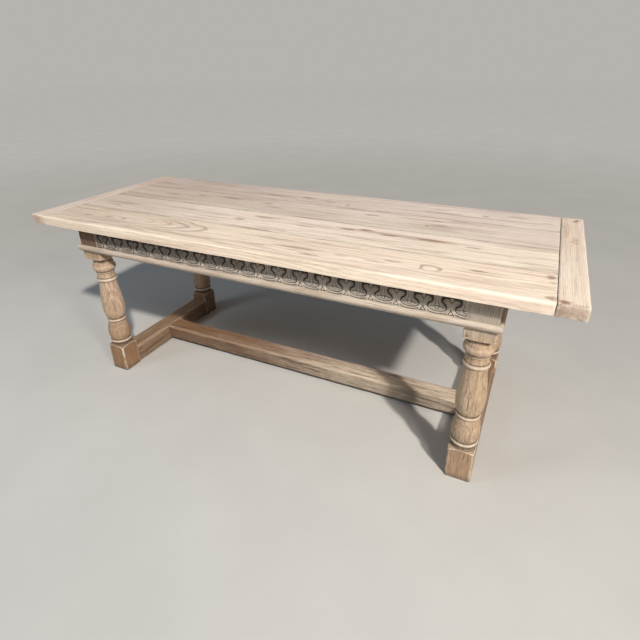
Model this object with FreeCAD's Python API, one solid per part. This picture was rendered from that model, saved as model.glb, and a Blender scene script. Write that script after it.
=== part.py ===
# Refectory dining table: four-board cleated top, carved long rails, turned legs and a low H-stretcher.
# Millimetres. +X runs along the table, -Y is the front and +Z is up.
# The origin is on the floor, under the middle.
import FreeCAD, Part
import math
import os

os.makedirs("parts", exist_ok=True)
V = FreeCAD.Vector

# Whole table, and how far the top overhangs the frame
table_length = 2150.0
table_width = 830.0
table_height = 770.0
end_overhang = 208.0
side_overhang = 52.0

# Fits and cuts shared by every joint
fit_gap = 0.1
overrun = 5.0

# Top boards and the cleats across their ends
top_thickness = 40.0
board_count = 4
cleat_width = 80.0
top_arris = 6.0
lower_arris = 2.0
top_corner = 8.0
end_tongue_thickness = 11.0
end_tongue_length = 26.0
end_tongue_setback = 30.0
loose_tongue_width = 24.0
loose_tongue_thickness = 9.0
loose_tongue_setback = 55.0
cleat_peg_radius = 4.5
cleat_peg_cover = 8.0
cleat_peg_shares = (-0.28, 0.28)

# Legs: a square block at the top, a square foot, and a turned length between them
leg_block = 100.0
leg_block_length = 147.0
foot_block = 92.0
foot_height = 126.0
foot_chamfer = 5.0

# Turned profile from foot to block: radius in shares of half the block, height in shares of the turned length
foot_shoulder_shares = ((1.50, -0.026), (1.18, 0.001), (1.00, 0.011), (0.90, 0.016), (0.86, 0.0235))
foot_fillet_shares = ((0.84, 0.025), (0.84, 0.049))
low_ring_shares = ((0.84, 0.0525), (0.966, 0.0678), (0.84, 0.0832))
lower_bulb_shares = (
    (0.84, 0.0853), (0.88, 0.0944), (0.95, 0.1189), (0.984, 0.1515),
    (0.976, 0.1802), (0.92, 0.2215), (0.83, 0.2603), (0.74, 0.2910),
)
middle_ring_shares = ((0.73, 0.2932), (0.83, 0.3085), (0.73, 0.3239))
bulb_shares = (
    (0.74, 0.3270), (0.84, 0.3482), (0.93, 0.3835), (0.98, 0.4239), (0.992, 0.4679),
    (0.976, 0.5120), (0.91, 0.5850), (0.84, 0.6446), (0.79, 0.7006), (0.77, 0.7425),
)
collar_shares = ((0.79, 0.7462), (0.88, 0.7637), (0.79, 0.7812))
neck_shares = ((0.79, 0.7845), (0.745, 0.8010), (0.735, 0.8170), (0.75, 0.8337))
neck_fillet_shares = ((0.80, 0.8360), (0.80, 0.8465), (0.77, 0.8500))
torus_shares = (
    (0.80, 0.8535), (0.88, 0.8610), (0.96, 0.8735), (0.992, 0.8880), (0.97, 0.9045), (0.89, 0.9190),
)
top_fillet_shares = ((0.86, 0.9255), (0.86, 0.9430))
throat_shares = ((0.78, 0.9475), (0.78, 0.9810))
block_shoulder_shares = ((0.88, 0.984), (1.00, 0.987), (1.20, 0.9925), (1.41, 1.0), (1.50, 1.0045))

# Rails between the leg blocks
rail_thickness = 30.0
rail_height = 113.0
tenon_length = 60.0
tenon_thickness = 12.0
tenon_shoulder = 10.0
rail_peg_radius = 4.0
rail_peg_length = 45.0
rail_peg_inset = 28.0
rail_peg_rise = 15.0
rail_peg_drop = 23.0

# Carving on the long rails: one bowl a pitch, a sunk field over each joint of two bowls
carving_count = 18
carving_depth = 6.0
spandrel_depth = 4.0
groove_depth = 2.5
groove_width = 2.2

# Half outline of a sunk field, from its middle outward
# Shares of the pitch, and of the height over the moulding
field_shares = (
    (0.0, 0.6860), (0.035, 0.6767), (0.059, 0.6465), (0.080, 0.6186), (0.111, 0.6209),
    (0.164, 0.6302), (0.228, 0.6116), (0.272, 0.5721), (0.282, 0.5279), (0.260, 0.4860),
    (0.218, 0.4581), (0.176, 0.4256), (0.146, 0.3721), (0.134, 0.3070), (0.141, 0.2419),
    (0.162, 0.1930), (0.185, 0.2442), (0.209, 0.3116), (0.244, 0.3628), (0.300, 0.4047),
    (0.352, 0.4581), (0.380, 0.5302), (0.383, 0.6093), (0.364, 0.6930), (0.343, 0.7907),
    (0.317, 0.8837), (0.235, 0.9442), (0.0, 0.9605),
)
spandrel_shares = (
    (0.0, 0.2907), (0.026, 0.2209), (0.059, 0.1465), (0.106, 0.0767), (0.162, 0.0140), (0.0, 0.0140),
)
bowl_width_share = 0.3345
bowl_depth_share = 0.1512
bowl_rim_share = 0.2558
bowl_step_shares = (0.0, 0.125, 0.25, 0.375, 0.5, 0.625, 0.75, 0.875, 1.0)

# Moulding planted on the rails and leg blocks
moulding_rise = 3.0
moulding_height = 24.0
moulding_depth = 12.0
moulding_lip = 8.0
moulding_bead = 3.0
pin_radius = 1.0
pin_length = 26.0
pin_sunk = 3.0
long_pin_shares = (-0.84, -0.42, 0.0, 0.42, 0.84)
end_pin_shares = (-0.7, 0.0, 0.7)

# Stretchers
stretcher_width = 90.0
end_stretcher_clearance = 8.0
end_stretcher_height = 82.0
long_stretcher_clearance = 21.0
long_stretcher_height = 67.0
stretcher_chamfer = 6.0
chamfer_stop = 22.0
stretcher_tenon_thickness = 27.0
stretcher_tenon_length = 52.0
stretcher_tenon_shoulder = 15.0
stretcher_peg_radius = 5.0
stretcher_peg_inset = 24.0
stretcher_peg_cover = 8.0

# Buttons that hold the top to the rails, and their screws
button_width = 32.0
button_body = 30.0
button_height = 20.0
button_tongue = 9.0
button_tongue_thickness = 8.0
button_slot_depth = 10.0
screw_radius = 2.5
screw_head_radius = 5.0
screw_head_height = 3.0
screw_in_top = 20.0
long_button_shares = (-0.8, 0.0, 0.8)
end_button_shares = (-0.45, 0.45)

# Positions that follow from the sizes
half_length = table_length / 2
half_width = table_width / 2
under_top = table_height - top_thickness
middle_of_top = table_height - top_thickness / 2
board_width = table_width / board_count
board_end = half_length - cleat_width
leg_half = leg_block / 2
foot_half = foot_block / 2
turned_length = under_top - leg_block_length - foot_height
face_x = half_length - end_overhang
face_y = half_width - side_overhang
leg_x = face_x - leg_half
leg_y = face_y - leg_half
inner_x = leg_x - leg_half
inner_y = leg_y - leg_half
foot_inner_y = leg_y - foot_half
rail_low = under_top - rail_height
moulding_low = rail_low + moulding_rise
moulding_high = moulding_low + moulding_height
moulding_middle = moulding_low + moulding_height / 2
carving_pitch = (inner_x + inner_x) / carving_count
carving_height = under_top - moulding_high
stretcher_half = stretcher_width / 2
end_stretcher_low = end_stretcher_clearance
end_stretcher_high = end_stretcher_low + end_stretcher_height
long_stretcher_low = long_stretcher_clearance
long_stretcher_high = long_stretcher_low + long_stretcher_height
long_end = leg_x - stretcher_half
O = V()
X = V(1, 0, 0)
Y = V(0, 1, 0)
Z = V(0, 0, 1)
ENDS = (-1, 1)
CORNERS = ((-1, -1), (1, -1), (-1, 1), (1, 1))


def block(x0, x1, y0, y1, z0, z1):
    """Box between two corners given in any order."""
    corner = V(min(x0, x1), min(y0, y1), min(z0, z1))
    return Part.makeBox(abs(x1 - x0), abs(y1 - y0), abs(z1 - z0), corner)


def rod(start, direction, radius, length):
    return Part.makeCylinder(radius, length, start, direction)


def prism(points, direction):
    """Straight solid with a closed outline of points as its section."""
    return Part.Face(Part.makePolygon(points + points[:1])).extrude(direction)


def to_corner(shape, side_x, side_y):
    """Shape built for the right front corner, mirrored to another corner."""
    if side_x < 0:
        shape = shape.mirror(O, X)
    if side_y > 0:
        shape = shape.mirror(O, Y)
    return shape


def both(shape, normal):
    """Shape and its mirror image across the middle of the table."""
    return [shape, shape.mirror(O, normal)]


def save(name, solids):
    shape = solids[0] if len(solids) == 1 else Part.makeCompound(solids)
    shape.exportStep("parts/" + name + ".step")


# Pegs through the cleats and the boards' end tongues, let in from below
board_middles = [board_width * i - half_width + board_width / 2 for i in range(board_count)]
cleat_peg_x = board_end + end_tongue_length / 2
cleat_peg_length = top_thickness - cleat_peg_cover


def cleat_peg_set(side, gap, extra):
    places = [y + share * board_width for y in board_middles for share in cleat_peg_shares]
    return [
        rod(V(side * cleat_peg_x, y, under_top - extra), Z, cleat_peg_radius + gap, cleat_peg_length + extra)
        for y in places
    ]


save("cleat_pegs", [peg for side in ENDS for peg in cleat_peg_set(side, 0, 0)])

# Buttons against the rails' inner faces, with their tongues in the rails' slots
button_places = []
for side in ENDS:
    for share in long_button_shares:
        button_places.append((V(share * inner_x, side * (face_y - rail_thickness), under_top), Y * side))
    for share in end_button_shares:
        button_places.append((V(side * (face_x - rail_thickness), share * inner_y, under_top), X * side))


def at_buttons(shape):
    """Copies of a shape built at the origin, tongue toward +X, one at each button's place."""
    copies = []
    for spot, outward in button_places:
        copy = shape.copy()
        copy.Placement = FreeCAD.Placement(spot, FreeCAD.Rotation(X, outward))
        copies.append(copy)
    return copies


def screw(gap):
    """Countersunk screw under a button, head down, or its bore when a gap is given."""
    low = V(-button_body / 2, 0, -button_height)
    head = Part.makeCone(screw_head_radius + gap, screw_radius + gap, screw_head_height, low, Z)
    return rod(low, Z, screw_radius + gap, button_height + screw_in_top + gap).fuse(head).removeSplitter()


half_button = button_width / 2
tongue_top = button_tongue_thickness - button_height
button = block(-button_body, 0, -half_button, half_button, -button_height, 0)
tongue = block(-button_body, button_tongue, -half_button, half_button, -button_height, tongue_top)
button = button.fuse(tongue)
button = button.removeSplitter().cut(screw(fit_gap))
slot = block(-overrun, button_slot_depth, -half_button - fit_gap, half_button + fit_gap,
             -button_height - fit_gap, tongue_top + fit_gap)
button_slots = at_buttons(slot)
screw_bores = at_buttons(screw(fit_gap))
save("top_buttons", at_buttons(button))
save("button_screws", at_buttons(screw(0)))

# Top boards, tongued at the ends for the cleats and grooved along the seams for loose tongues
seams = [board_width * i - half_width for i in range(1, board_count)]
seam_run = board_end - loose_tongue_setback
tongue_reach = half_width - end_tongue_setback


def seam_tongue(y, gap):
    half = loose_tongue_width / 2 + gap
    rise = loose_tongue_thickness / 2 + gap
    run = seam_run + gap
    return block(-run, run, y - half, y + half, middle_of_top - rise, middle_of_top + rise)


def end_tongue(side, y0, y1, gap):
    rise = end_tongue_thickness / 2 + gap
    root = side * (board_end - overrun)
    tip = side * (board_end + end_tongue_length + gap)
    return block(root, tip, y0 - gap, y1 + gap, middle_of_top - rise, middle_of_top + rise)


def eased(shape, radius, chosen):
    """Shape with the edges whose boxes pass a test rounded over."""
    return shape.makeFillet(radius, [edge for edge in shape.Edges if chosen(edge.BoundBox)])


def on_long_edge(box):
    return abs(abs(box.Center.y) - half_width) < fit_gap and max(box.YLength, box.ZLength) < fit_gap


def on_upper_edge(box):
    return on_long_edge(box) and box.Center.z > middle_of_top


def on_lower_edge(box):
    return on_long_edge(box) and box.Center.z < middle_of_top


def on_cleat_corner(box):
    return box.ZLength > fit_gap and abs(box.Center.x - half_length) < fit_gap


def on_cleat_rim(box):
    return box.ZLength < fit_gap and box.XMax > board_end + fit_gap


def on_upper_rim(box):
    return on_cleat_rim(box) and box.Center.z > middle_of_top


def on_lower_rim(box):
    return on_cleat_rim(box) and box.Center.z < middle_of_top


board_names = ("top_board_front", "top_board_front_middle", "top_board_back_middle", "top_board_back")
for name, middle in zip(board_names, board_middles):
    low = middle - board_width / 2
    high = middle + board_width / 2
    board = block(-board_end, board_end, low, high, under_top, table_height)
    if abs(middle) > board_width:
        board = eased(board, top_arris, on_upper_edge)
        board = eased(board, lower_arris, on_lower_edge)
    tongues = [end_tongue(side, max(low, -tongue_reach), min(high, tongue_reach), 0) for side in ENDS]
    bores = [bore for side in ENDS for bore in cleat_peg_set(side, fit_gap, overrun)]
    grooves = [seam_tongue(seam, fit_gap) for seam in seams]
    board = board.fuse(tongues).removeSplitter().cut(bores + grooves + screw_bores)
    save(name, board.Solids)
save("board_tongues", [seam_tongue(seam, 0) for seam in seams])

# Cleats, grooved for the end tongues
cleat = block(board_end, half_length, -half_width, half_width, under_top, table_height)
cleat = eased(cleat, top_corner, on_cleat_corner)
cleat = eased(cleat, top_arris, on_upper_rim)
cleat = eased(cleat, lower_arris, on_lower_rim)
cleat = cleat.cut([end_tongue(1, -tongue_reach, tongue_reach, fit_gap)] + cleat_peg_set(1, fit_gap, overrun))
save("cleat_right", cleat.Solids)
save("cleat_left", cleat.mirror(O, X).Solids)


# Tenons and pegs at the right front corner
def long_tenon(gap):
    outer = tenon_shoulder - face_y
    return block(inner_x - overrun, inner_x + tenon_length + gap, outer - gap, outer + tenon_thickness + gap,
                 rail_low + tenon_shoulder - gap, under_top - tenon_shoulder + gap)


def end_tenon(gap):
    outer = face_x - tenon_shoulder
    return block(outer + gap, outer - tenon_thickness - gap, overrun - inner_y, -inner_y - tenon_length - gap,
                 rail_low + tenon_shoulder - gap, under_top - tenon_shoulder + gap)


def foot_tenon(gap):
    half = stretcher_tenon_thickness / 2 + gap
    tip = -foot_inner_y - stretcher_tenon_length - gap
    return block(leg_x - half, leg_x + half, overrun - foot_inner_y, tip,
                 end_stretcher_low + stretcher_tenon_shoulder - gap,
                 end_stretcher_high - stretcher_tenon_shoulder + gap)


def long_stretcher_tenon(gap):
    half = stretcher_tenon_thickness / 2 + gap
    return block(long_end - overrun, long_end + stretcher_tenon_length + gap, -half, half,
                 long_stretcher_low + stretcher_tenon_shoulder - gap,
                 long_stretcher_high - stretcher_tenon_shoulder + gap)


def rail_peg_set(gap, extra):
    pegs = []
    for height in (rail_low + rail_peg_rise, under_top - rail_peg_drop):
        front = V(inner_x + rail_peg_inset, -face_y - extra, height)
        side = V(face_x + extra, -inner_y - rail_peg_inset, height)
        pegs.append(rod(front, Y, rail_peg_radius + gap, rail_peg_length + extra))
        pegs.append(rod(side, -X, rail_peg_radius + gap, rail_peg_length + extra))
    return pegs


def foot_peg(gap, extra):
    height = (end_stretcher_low + end_stretcher_high) / 2
    start = V(leg_x + foot_half + extra, -foot_inner_y - stretcher_peg_inset, height)
    return rod(start, -X, stretcher_peg_radius + gap, foot_block - stretcher_peg_cover + extra)


def long_stretcher_peg(gap, extra):
    start = V(long_end + stretcher_peg_inset, 0, end_stretcher_low - extra)
    length = end_stretcher_high - end_stretcher_low - stretcher_peg_cover
    return rod(start, Z, stretcher_peg_radius + gap, length + extra)


save("rail_pegs", [to_corner(peg, x, y) for x, y in CORNERS for peg in rail_peg_set(0, 0)])
save("end_stretcher_pegs", [to_corner(foot_peg(0, 0), x, y) for x, y in CORNERS])
save("long_stretcher_pegs", both(long_stretcher_peg(0, 0), X))


# Legs: the square blank cut to the turned profile, then mortised and bored
def profile_points(shares):
    return [V(radius * leg_half, 0, foot_height + height * turned_length) for radius, height in shares]


def curve(points):
    line = Part.BSplineCurve()
    line.interpolate(points)
    return line.toShape().Edges


def bead(points):
    return Part.Arc(*points).toShape().Edges


def straight(points):
    return Part.makePolygon(points).Edges


strokes = (
    (curve, foot_shoulder_shares), (straight, foot_fillet_shares), (bead, low_ring_shares),
    (curve, lower_bulb_shares), (bead, middle_ring_shares), (curve, bulb_shares), (bead, collar_shares),
    (curve, neck_shares), (straight, neck_fillet_shares), (curve, torus_shares),
    (straight, top_fillet_shares), (straight, throat_shares), (curve, block_shoulder_shares),
)
turning_radius = foot_shoulder_shares[0][0] * leg_half
last = V(turning_radius, 0, 0)
outline = [Part.makeLine(O, last)]
for draw, shares in strokes:
    points = profile_points(shares)
    outline.append(Part.makeLine(last, points[0]))
    outline.extend(draw(points))
    last = points[-1]
top_axis = V(0, 0, under_top)
outline.extend(straight([last, V(turning_radius, 0, under_top), top_axis, O]))
turned = Part.Face(Part.Wire(outline)).revolve(O, Z, 360)

foot_top = profile_points(foot_fillet_shares)[0].z
foot = block(-foot_half, foot_half, -foot_half, foot_half, 0, foot_top)
foot = foot.makeChamfer(foot_chamfer, [edge for edge in foot.Edges if edge.BoundBox.ZLength > foot_chamfer])
blank = foot.fuse(block(-leg_half, leg_half, -leg_half, leg_half, foot_top, under_top))
leg = turned.common(blank)
leg.translate(V(leg_x, -leg_y, 0))
mortises = [long_tenon(fit_gap), end_tenon(fit_gap), foot_tenon(fit_gap), foot_peg(fit_gap, overrun)]
leg = leg.cut(mortises + rail_peg_set(fit_gap, overrun)).removeSplitter()
leg_names = ("leg_front_left", "leg_front_right", "leg_back_left", "leg_back_right")
for name, (side_x, side_y) in zip(leg_names, CORNERS):
    save(name, to_corner(leg, side_x, side_y).Solids)


# Pins through the moulding into the rails
def long_pins(gap):
    start = pin_sunk - face_y - moulding_depth
    spots = [V(share * inner_x, start, moulding_middle) for share in long_pin_shares]
    return [rod(spot, Y, pin_radius + gap, pin_length) for spot in spots]


def end_pins(gap):
    start = face_x + moulding_depth - pin_sunk
    spots = [V(start, share * inner_y, moulding_middle) for share in end_pin_shares]
    return [rod(spot, -X, pin_radius + gap, pin_length) for spot in spots]


save("moulding_pins", [pin for one in long_pins(0) for pin in both(one, Y)]
     + [pin for one in end_pins(0) for pin in both(one, X)])


# Carving: cutters for the sunk fields, the spandrels under them and the grooves that line the bowls
def carving_point(middle, share_x, share_z):
    return V(middle + share_x * carving_pitch, -face_y - overrun, moulding_high + share_z * carving_height)


def closed_curve(points):
    line = Part.BSplineCurve()
    line.interpolate(points, True)
    return Part.Wire(line.toShape())


def sunk_field(middle):
    right = [carving_point(middle, x, z) for x, z in field_shares]
    left = [carving_point(middle, -x, z) for x, z in field_shares[-2:0:-1]]
    return Part.Face(closed_curve(right + left)).extrude(Y * (overrun + carving_depth))


def spandrel(middle):
    right = [carving_point(middle, x, z) for x, z in spandrel_shares]
    left = [carving_point(middle, -x, z) for x, z in spandrel_shares[-2:0:-1]]
    return prism(right + left, Y * (overrun + spandrel_depth))


def bowl_groove(middle):
    rim = moulding_high + bowl_rim_share * carving_height
    points = []
    for width, shares in ((0, bowl_step_shares), (groove_width, bowl_step_shares[::-1])):
        for share in shares:
            turn = math.pi * share
            across = (bowl_width_share * carving_pitch - width) * math.cos(turn)
            down = (bowl_depth_share * carving_height - width) * math.sin(turn)
            points.append(V(middle + across, -face_y - overrun, rim - down))
    return prism(points, Y * (overrun + groove_depth))


joints = [carving_pitch * i - inner_x + carving_pitch / 2 for i in range(carving_count)]
bowls = [carving_pitch * i - inner_x for i in range(1, carving_count)]
sunk_parts = [cutter for middle in joints for cutter in (sunk_field(middle), spandrel(middle))]
grooves = [bowl_groove(middle) for middle in bowls]

# Rails, tenoned into the leg blocks and slotted inside for the buttons
front_rail = block(-inner_x, inner_x, -face_y, rail_thickness - face_y, rail_low, under_top)
front_rail = front_rail.fuse(both(long_tenon(0), X)).removeSplitter()
rail_bores = [bore for peg in rail_peg_set(fit_gap, overrun) for bore in both(peg, X)]
front_rail = front_rail.cut(rail_bores + button_slots + long_pins(fit_gap)).cut(grooves).cut(sunk_parts)
save("frieze_rail_front", front_rail.Solids)
save("frieze_rail_back", front_rail.mirror(O, Y).Solids)

right_rail = block(face_x - rail_thickness, face_x, -inner_y, inner_y, rail_low, under_top)
right_rail = right_rail.fuse(both(end_tenon(0), Y)).removeSplitter()
rail_bores = [bore for peg in rail_peg_set(fit_gap, overrun) for bore in both(peg, Y)]
right_rail = right_rail.cut(rail_bores + button_slots + end_pins(fit_gap))
save("end_rail_right", right_rail.Solids)
save("end_rail_left", right_rail.mirror(O, X).Solids)


# Moulding: a round nose over a flat lip, mitred where two lengths meet
def moulding(start, end, out):
    """Moulding along a face from one corner of the frame to the next, out being the way off the face."""
    along = (end - start).normalize()
    step = moulding_lip - moulding_bead
    nose_low = moulding_low + moulding_bead

    def spot(depth, height):
        return start - along * moulding_depth + out * depth + Z * height

    under_nose = spot(moulding_lip, nose_low)
    over_nose = spot(step, moulding_high)
    edges = straight([over_nose, spot(0, moulding_high),
                      spot(0, moulding_low), spot(moulding_lip, moulding_low), under_nose])
    edges += bead([under_nose, spot(moulding_depth, moulding_middle), over_nose])
    stock = Part.Face(Part.Wire(edges)).extrude(end - start + along * (moulding_depth + moulding_depth))
    reach = moulding_depth + overrun
    mitred = [start, end, end + along * reach + out * reach, start - along * reach + out * reach]
    return stock.common(prism([point + Z * moulding_low for point in mitred], Z * moulding_height))


front_moulding = moulding(V(-face_x, -face_y, 0), V(face_x, -face_y, 0), -Y)
front_moulding = front_moulding.cut(long_pins(fit_gap))
save("moulding_front", front_moulding.Solids)
save("moulding_back", front_moulding.mirror(O, Y).Solids)
right_moulding = moulding(V(face_x, -face_y, 0), V(face_x, face_y, 0), X)
right_moulding = right_moulding.cut(end_pins(fit_gap))
save("moulding_right", right_moulding.Solids)
save("moulding_left", right_moulding.mirror(O, X).Solids)


# Stretchers, with stopped chamfers along their upper edges
def chamfer(start, out, run):
    """Wedge along an upper edge, from a start on it over a run, out being the way off the timber."""
    side = out * stretcher_chamfer
    return prism([start - side, start + side, start - Z * stretcher_chamfer], run)


end_stretcher = block(long_end, leg_x + stretcher_half, -foot_inner_y, foot_inner_y,
                      end_stretcher_low, end_stretcher_high)
end_stretcher = end_stretcher.fuse(both(foot_tenon(0), Y)).removeSplitter()
inner_start = V(long_end, chamfer_stop - foot_inner_y, end_stretcher_high)
outer_start = V(leg_x + stretcher_half, chamfer_stop - foot_inner_y, end_stretcher_high)
inner_run = Y * (foot_inner_y - stretcher_half - chamfer_stop - chamfer_stop)
outer_run = Y * (foot_inner_y + foot_inner_y - chamfer_stop - chamfer_stop)
cutters = both(foot_peg(fit_gap, overrun), Y) + both(chamfer(inner_start, -X, inner_run), Y)
cutters += [chamfer(outer_start, X, outer_run)]
cutters += [long_stretcher_tenon(fit_gap), long_stretcher_peg(fit_gap, overrun)]
end_stretcher = end_stretcher.cut(cutters)
save("end_stretcher_right", end_stretcher.Solids)
save("end_stretcher_left", end_stretcher.mirror(O, X).Solids)

long_stretcher = block(-long_end, long_end, -stretcher_half, stretcher_half,
                       long_stretcher_low, long_stretcher_high)
long_stretcher = long_stretcher.fuse(both(long_stretcher_tenon(0), X)).removeSplitter()
long_start = V(chamfer_stop - long_end, -stretcher_half, long_stretcher_high)
long_run = X * (long_end + long_end - chamfer_stop - chamfer_stop)
cutters = both(chamfer(long_start, -Y, long_run), Y) + both(long_stretcher_peg(fit_gap, overrun), X)
long_stretcher = long_stretcher.cut(cutters)
save("long_stretcher", long_stretcher.Solids)
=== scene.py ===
"""Refectory dining table in limed oak: boarded top, carved frieze, turned legs and a low H-stretcher."""

import math

import bmesh
import bpy
import numpy as np
from bpy.props import FloatProperty, FloatVectorProperty, IntProperty, PointerProperty
from mathutils import Matrix, Vector, noise


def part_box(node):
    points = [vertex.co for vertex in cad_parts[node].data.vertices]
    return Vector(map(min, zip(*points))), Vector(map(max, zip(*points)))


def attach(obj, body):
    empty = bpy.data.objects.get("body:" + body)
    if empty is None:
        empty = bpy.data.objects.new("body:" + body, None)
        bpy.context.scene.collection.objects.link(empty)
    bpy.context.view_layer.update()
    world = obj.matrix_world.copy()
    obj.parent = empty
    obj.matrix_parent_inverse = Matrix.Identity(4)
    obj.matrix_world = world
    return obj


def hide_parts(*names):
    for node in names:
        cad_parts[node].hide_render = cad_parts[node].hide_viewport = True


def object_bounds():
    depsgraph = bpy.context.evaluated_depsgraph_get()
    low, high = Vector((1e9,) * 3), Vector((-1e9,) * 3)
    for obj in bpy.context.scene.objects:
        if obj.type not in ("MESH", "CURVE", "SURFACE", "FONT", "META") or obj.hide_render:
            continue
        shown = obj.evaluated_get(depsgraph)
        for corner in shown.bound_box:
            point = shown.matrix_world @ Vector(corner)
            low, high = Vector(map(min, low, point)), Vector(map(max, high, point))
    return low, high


bl_info = {
    "name": "Refectory table",
    "version": (1, 0, 0),
    "blender": (4, 5, 0),
    "location": "View3D > Sidebar > Table",
    "description": "Limed oak refectory table with a carved frieze, turned legs and a low stretcher",
    "category": "Object",
}

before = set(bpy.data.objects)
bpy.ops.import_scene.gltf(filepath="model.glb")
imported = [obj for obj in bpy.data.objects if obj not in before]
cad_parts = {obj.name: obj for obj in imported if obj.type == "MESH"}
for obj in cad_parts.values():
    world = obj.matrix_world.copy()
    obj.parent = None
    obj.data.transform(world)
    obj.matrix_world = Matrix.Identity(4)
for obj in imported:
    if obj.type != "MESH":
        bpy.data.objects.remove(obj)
cad_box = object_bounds()

# Places read from the frame, in metres
HALF_LENGTH, HALF_WIDTH, TOP_HIGH = cad_box[1]
TOP_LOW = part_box("top_board_front")[0][2]
CLEAT_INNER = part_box("cleat_right")[0][0]
FACE_X, FACE_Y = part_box("leg_back_right")[1][:2]
MOULDING_LOW, MOULDING_HIGH = (corner[2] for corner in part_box("moulding_front"))
RAIL_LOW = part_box("frieze_rail_front")[0][2]

# Sizes that those boxes don't give, in metres
BLOCK, BLOCK_LENGTH = 0.100, 0.147
FOOT, FOOT_HEIGHT = 0.092, 0.126
RAIL_THICKNESS, RAIL_TUCK = 0.030, 0.006
STRETCHER_HALF, STRETCHER_EASE, STRETCHER_TUCK, STRETCHER_END_EASE = 0.045, 0.0020, 0.0015, 0.001
LONG_LOW, LONG_HIGH = 0.021, 0.088
END_LOW, END_HIGH = 0.008, 0.090
SEAM_ARRIS, BOARD_END_EASE, CLEAT_END_EASE = 0.0008, 0.0015, 0.0012
CLEAT_SHORT, MITRE_GAP = 0.004, 0.0001
CHIP_REACH, CHIP_PUSH = 0.016, (0.005, 0.004, -0.006)
TONGUE_ROOT, TONGUE_TIP, TONGUE_HALF, TONGUE_STOP = 0.020, 0.0255, 0.005, 0.030
SPACING, STRETCHER_SPACING = 0.011, 0.009
FLOOR_REACH = 40.0

# Pegs, in metres: how far in from a joint's face they sit, and the heights of those in rails and feet
RAIL_PEG_IN, FOOT_PEG_IN, JOINT_PEG_IN, CLEAT_PEG_IN = 0.028, 0.022, 0.021, 0.013
RAIL_PEG_HEIGHTS, FOOT_PEG_HEIGHT = (RAIL_LOW + 0.015, TOP_LOW - 0.023), 0.049
CLEAT_PEG_SHARES = (0.22, 0.78)

# Wear: curvature of a fully worn edge of the top, the strip beside its joints that stays unworn,
# the width of the painted shadow lines in the legs' grooves and how far they lie from a bead
WORN_BEND, JOINT_STRIP = 180.0, 0.004
LEG_GROOVE, BEAD_QUIRK = 0.0022, 0.0006

LEG_X, LEG_Y = FACE_X - BLOCK / 2, FACE_Y - BLOCK / 2
INNER_X, INNER_Y = FACE_X - BLOCK, FACE_Y - BLOCK
TURNED_LENGTH = TOP_LOW - BLOCK_LENGTH - FOOT_HEIGHT
CORNERS = (("front_left", -1, -1), ("front_right", 1, -1), ("back_left", -1, 1), ("back_right", 1, 1))

# Which way a pattern is turned so that its X axis lies along a timber's grain
GRAIN_X = (0.0, 0.0, 0.0)
GRAIN_Y = (0.0, 0.0, -math.pi / 2)
GRAIN_Z = (0.0, math.pi / 2, 0.0)

# Turned profile from foot to block: radius in shares of half the block, height in shares of the turned length
TURNING = (
    ("curve", ((1.50, -0.026), (1.18, 0.001), (1.00, 0.011), (0.90, 0.016), (0.86, 0.0235))),
    ("line", ((0.84, 0.025), (0.84, 0.049))),
    ("bead", ((0.84, 0.0525), (0.966, 0.0678), (0.84, 0.0832))),
    ("curve", ((0.84, 0.0853), (0.88, 0.0944), (0.95, 0.1189), (0.984, 0.1515),
               (0.976, 0.1802), (0.92, 0.2215), (0.83, 0.2603), (0.74, 0.2910))),
    ("bead", ((0.73, 0.2932), (0.83, 0.3085), (0.73, 0.3239))),
    ("curve", ((0.74, 0.3270), (0.84, 0.3482), (0.93, 0.3835), (0.98, 0.4239), (0.992, 0.4679),
               (0.976, 0.5120), (0.91, 0.5850), (0.84, 0.6446), (0.79, 0.7006), (0.77, 0.7425))),
    ("bead", ((0.79, 0.7462), (0.88, 0.7637), (0.79, 0.7812))),
    ("curve", ((0.79, 0.7845), (0.745, 0.8010), (0.735, 0.8170), (0.75, 0.8337))),
    ("line", ((0.80, 0.8360), (0.80, 0.8465), (0.77, 0.8500))),
    ("curve", ((0.80, 0.8535), (0.88, 0.8610), (0.96, 0.8735), (0.992, 0.8880), (0.97, 0.9045),
               (0.89, 0.9190))),
    ("line", ((0.86, 0.9255), (0.86, 0.9430))),
    ("line", ((0.78, 0.9475), (0.78, 0.9810))),
    ("curve", ((0.88, 0.984), (1.00, 0.987), (1.20, 0.9925), (1.41, 1.0), (1.50, 1.0045))),
)
FOOT_TOP = 0.0245
# Heights, in shares of the turned length, of the quirks that get painted shadow lines
QUIRKS = (FOOT_TOP, 0.8500, 0.9825)
FILLET = (0.9255, 0.9430)

# Half outlines of the carving's sunk field and spandrel, in shares of the pitch
# and of the height over the moulding
FIELD = (
    (0.0, 0.6860), (0.035, 0.6767), (0.059, 0.6465), (0.080, 0.6186), (0.111, 0.6209), (0.164, 0.6302),
    (0.228, 0.6116), (0.272, 0.5721), (0.282, 0.5279), (0.260, 0.4860), (0.218, 0.4581), (0.176, 0.4256),
    (0.146, 0.3721), (0.134, 0.3070), (0.141, 0.2419), (0.162, 0.1930), (0.185, 0.2442), (0.209, 0.3116),
    (0.244, 0.3628), (0.300, 0.4047), (0.352, 0.4581), (0.380, 0.5302), (0.383, 0.6093), (0.364, 0.6930),
    (0.343, 0.7907), (0.317, 0.8837), (0.235, 0.9442), (0.0, 0.9605),
)
SPANDREL = ((0.0, 0.2907), (0.026, 0.2209), (0.059, 0.1465), (0.106, 0.0767), (0.162, 0.0140), (0.0, 0.0140))

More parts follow.
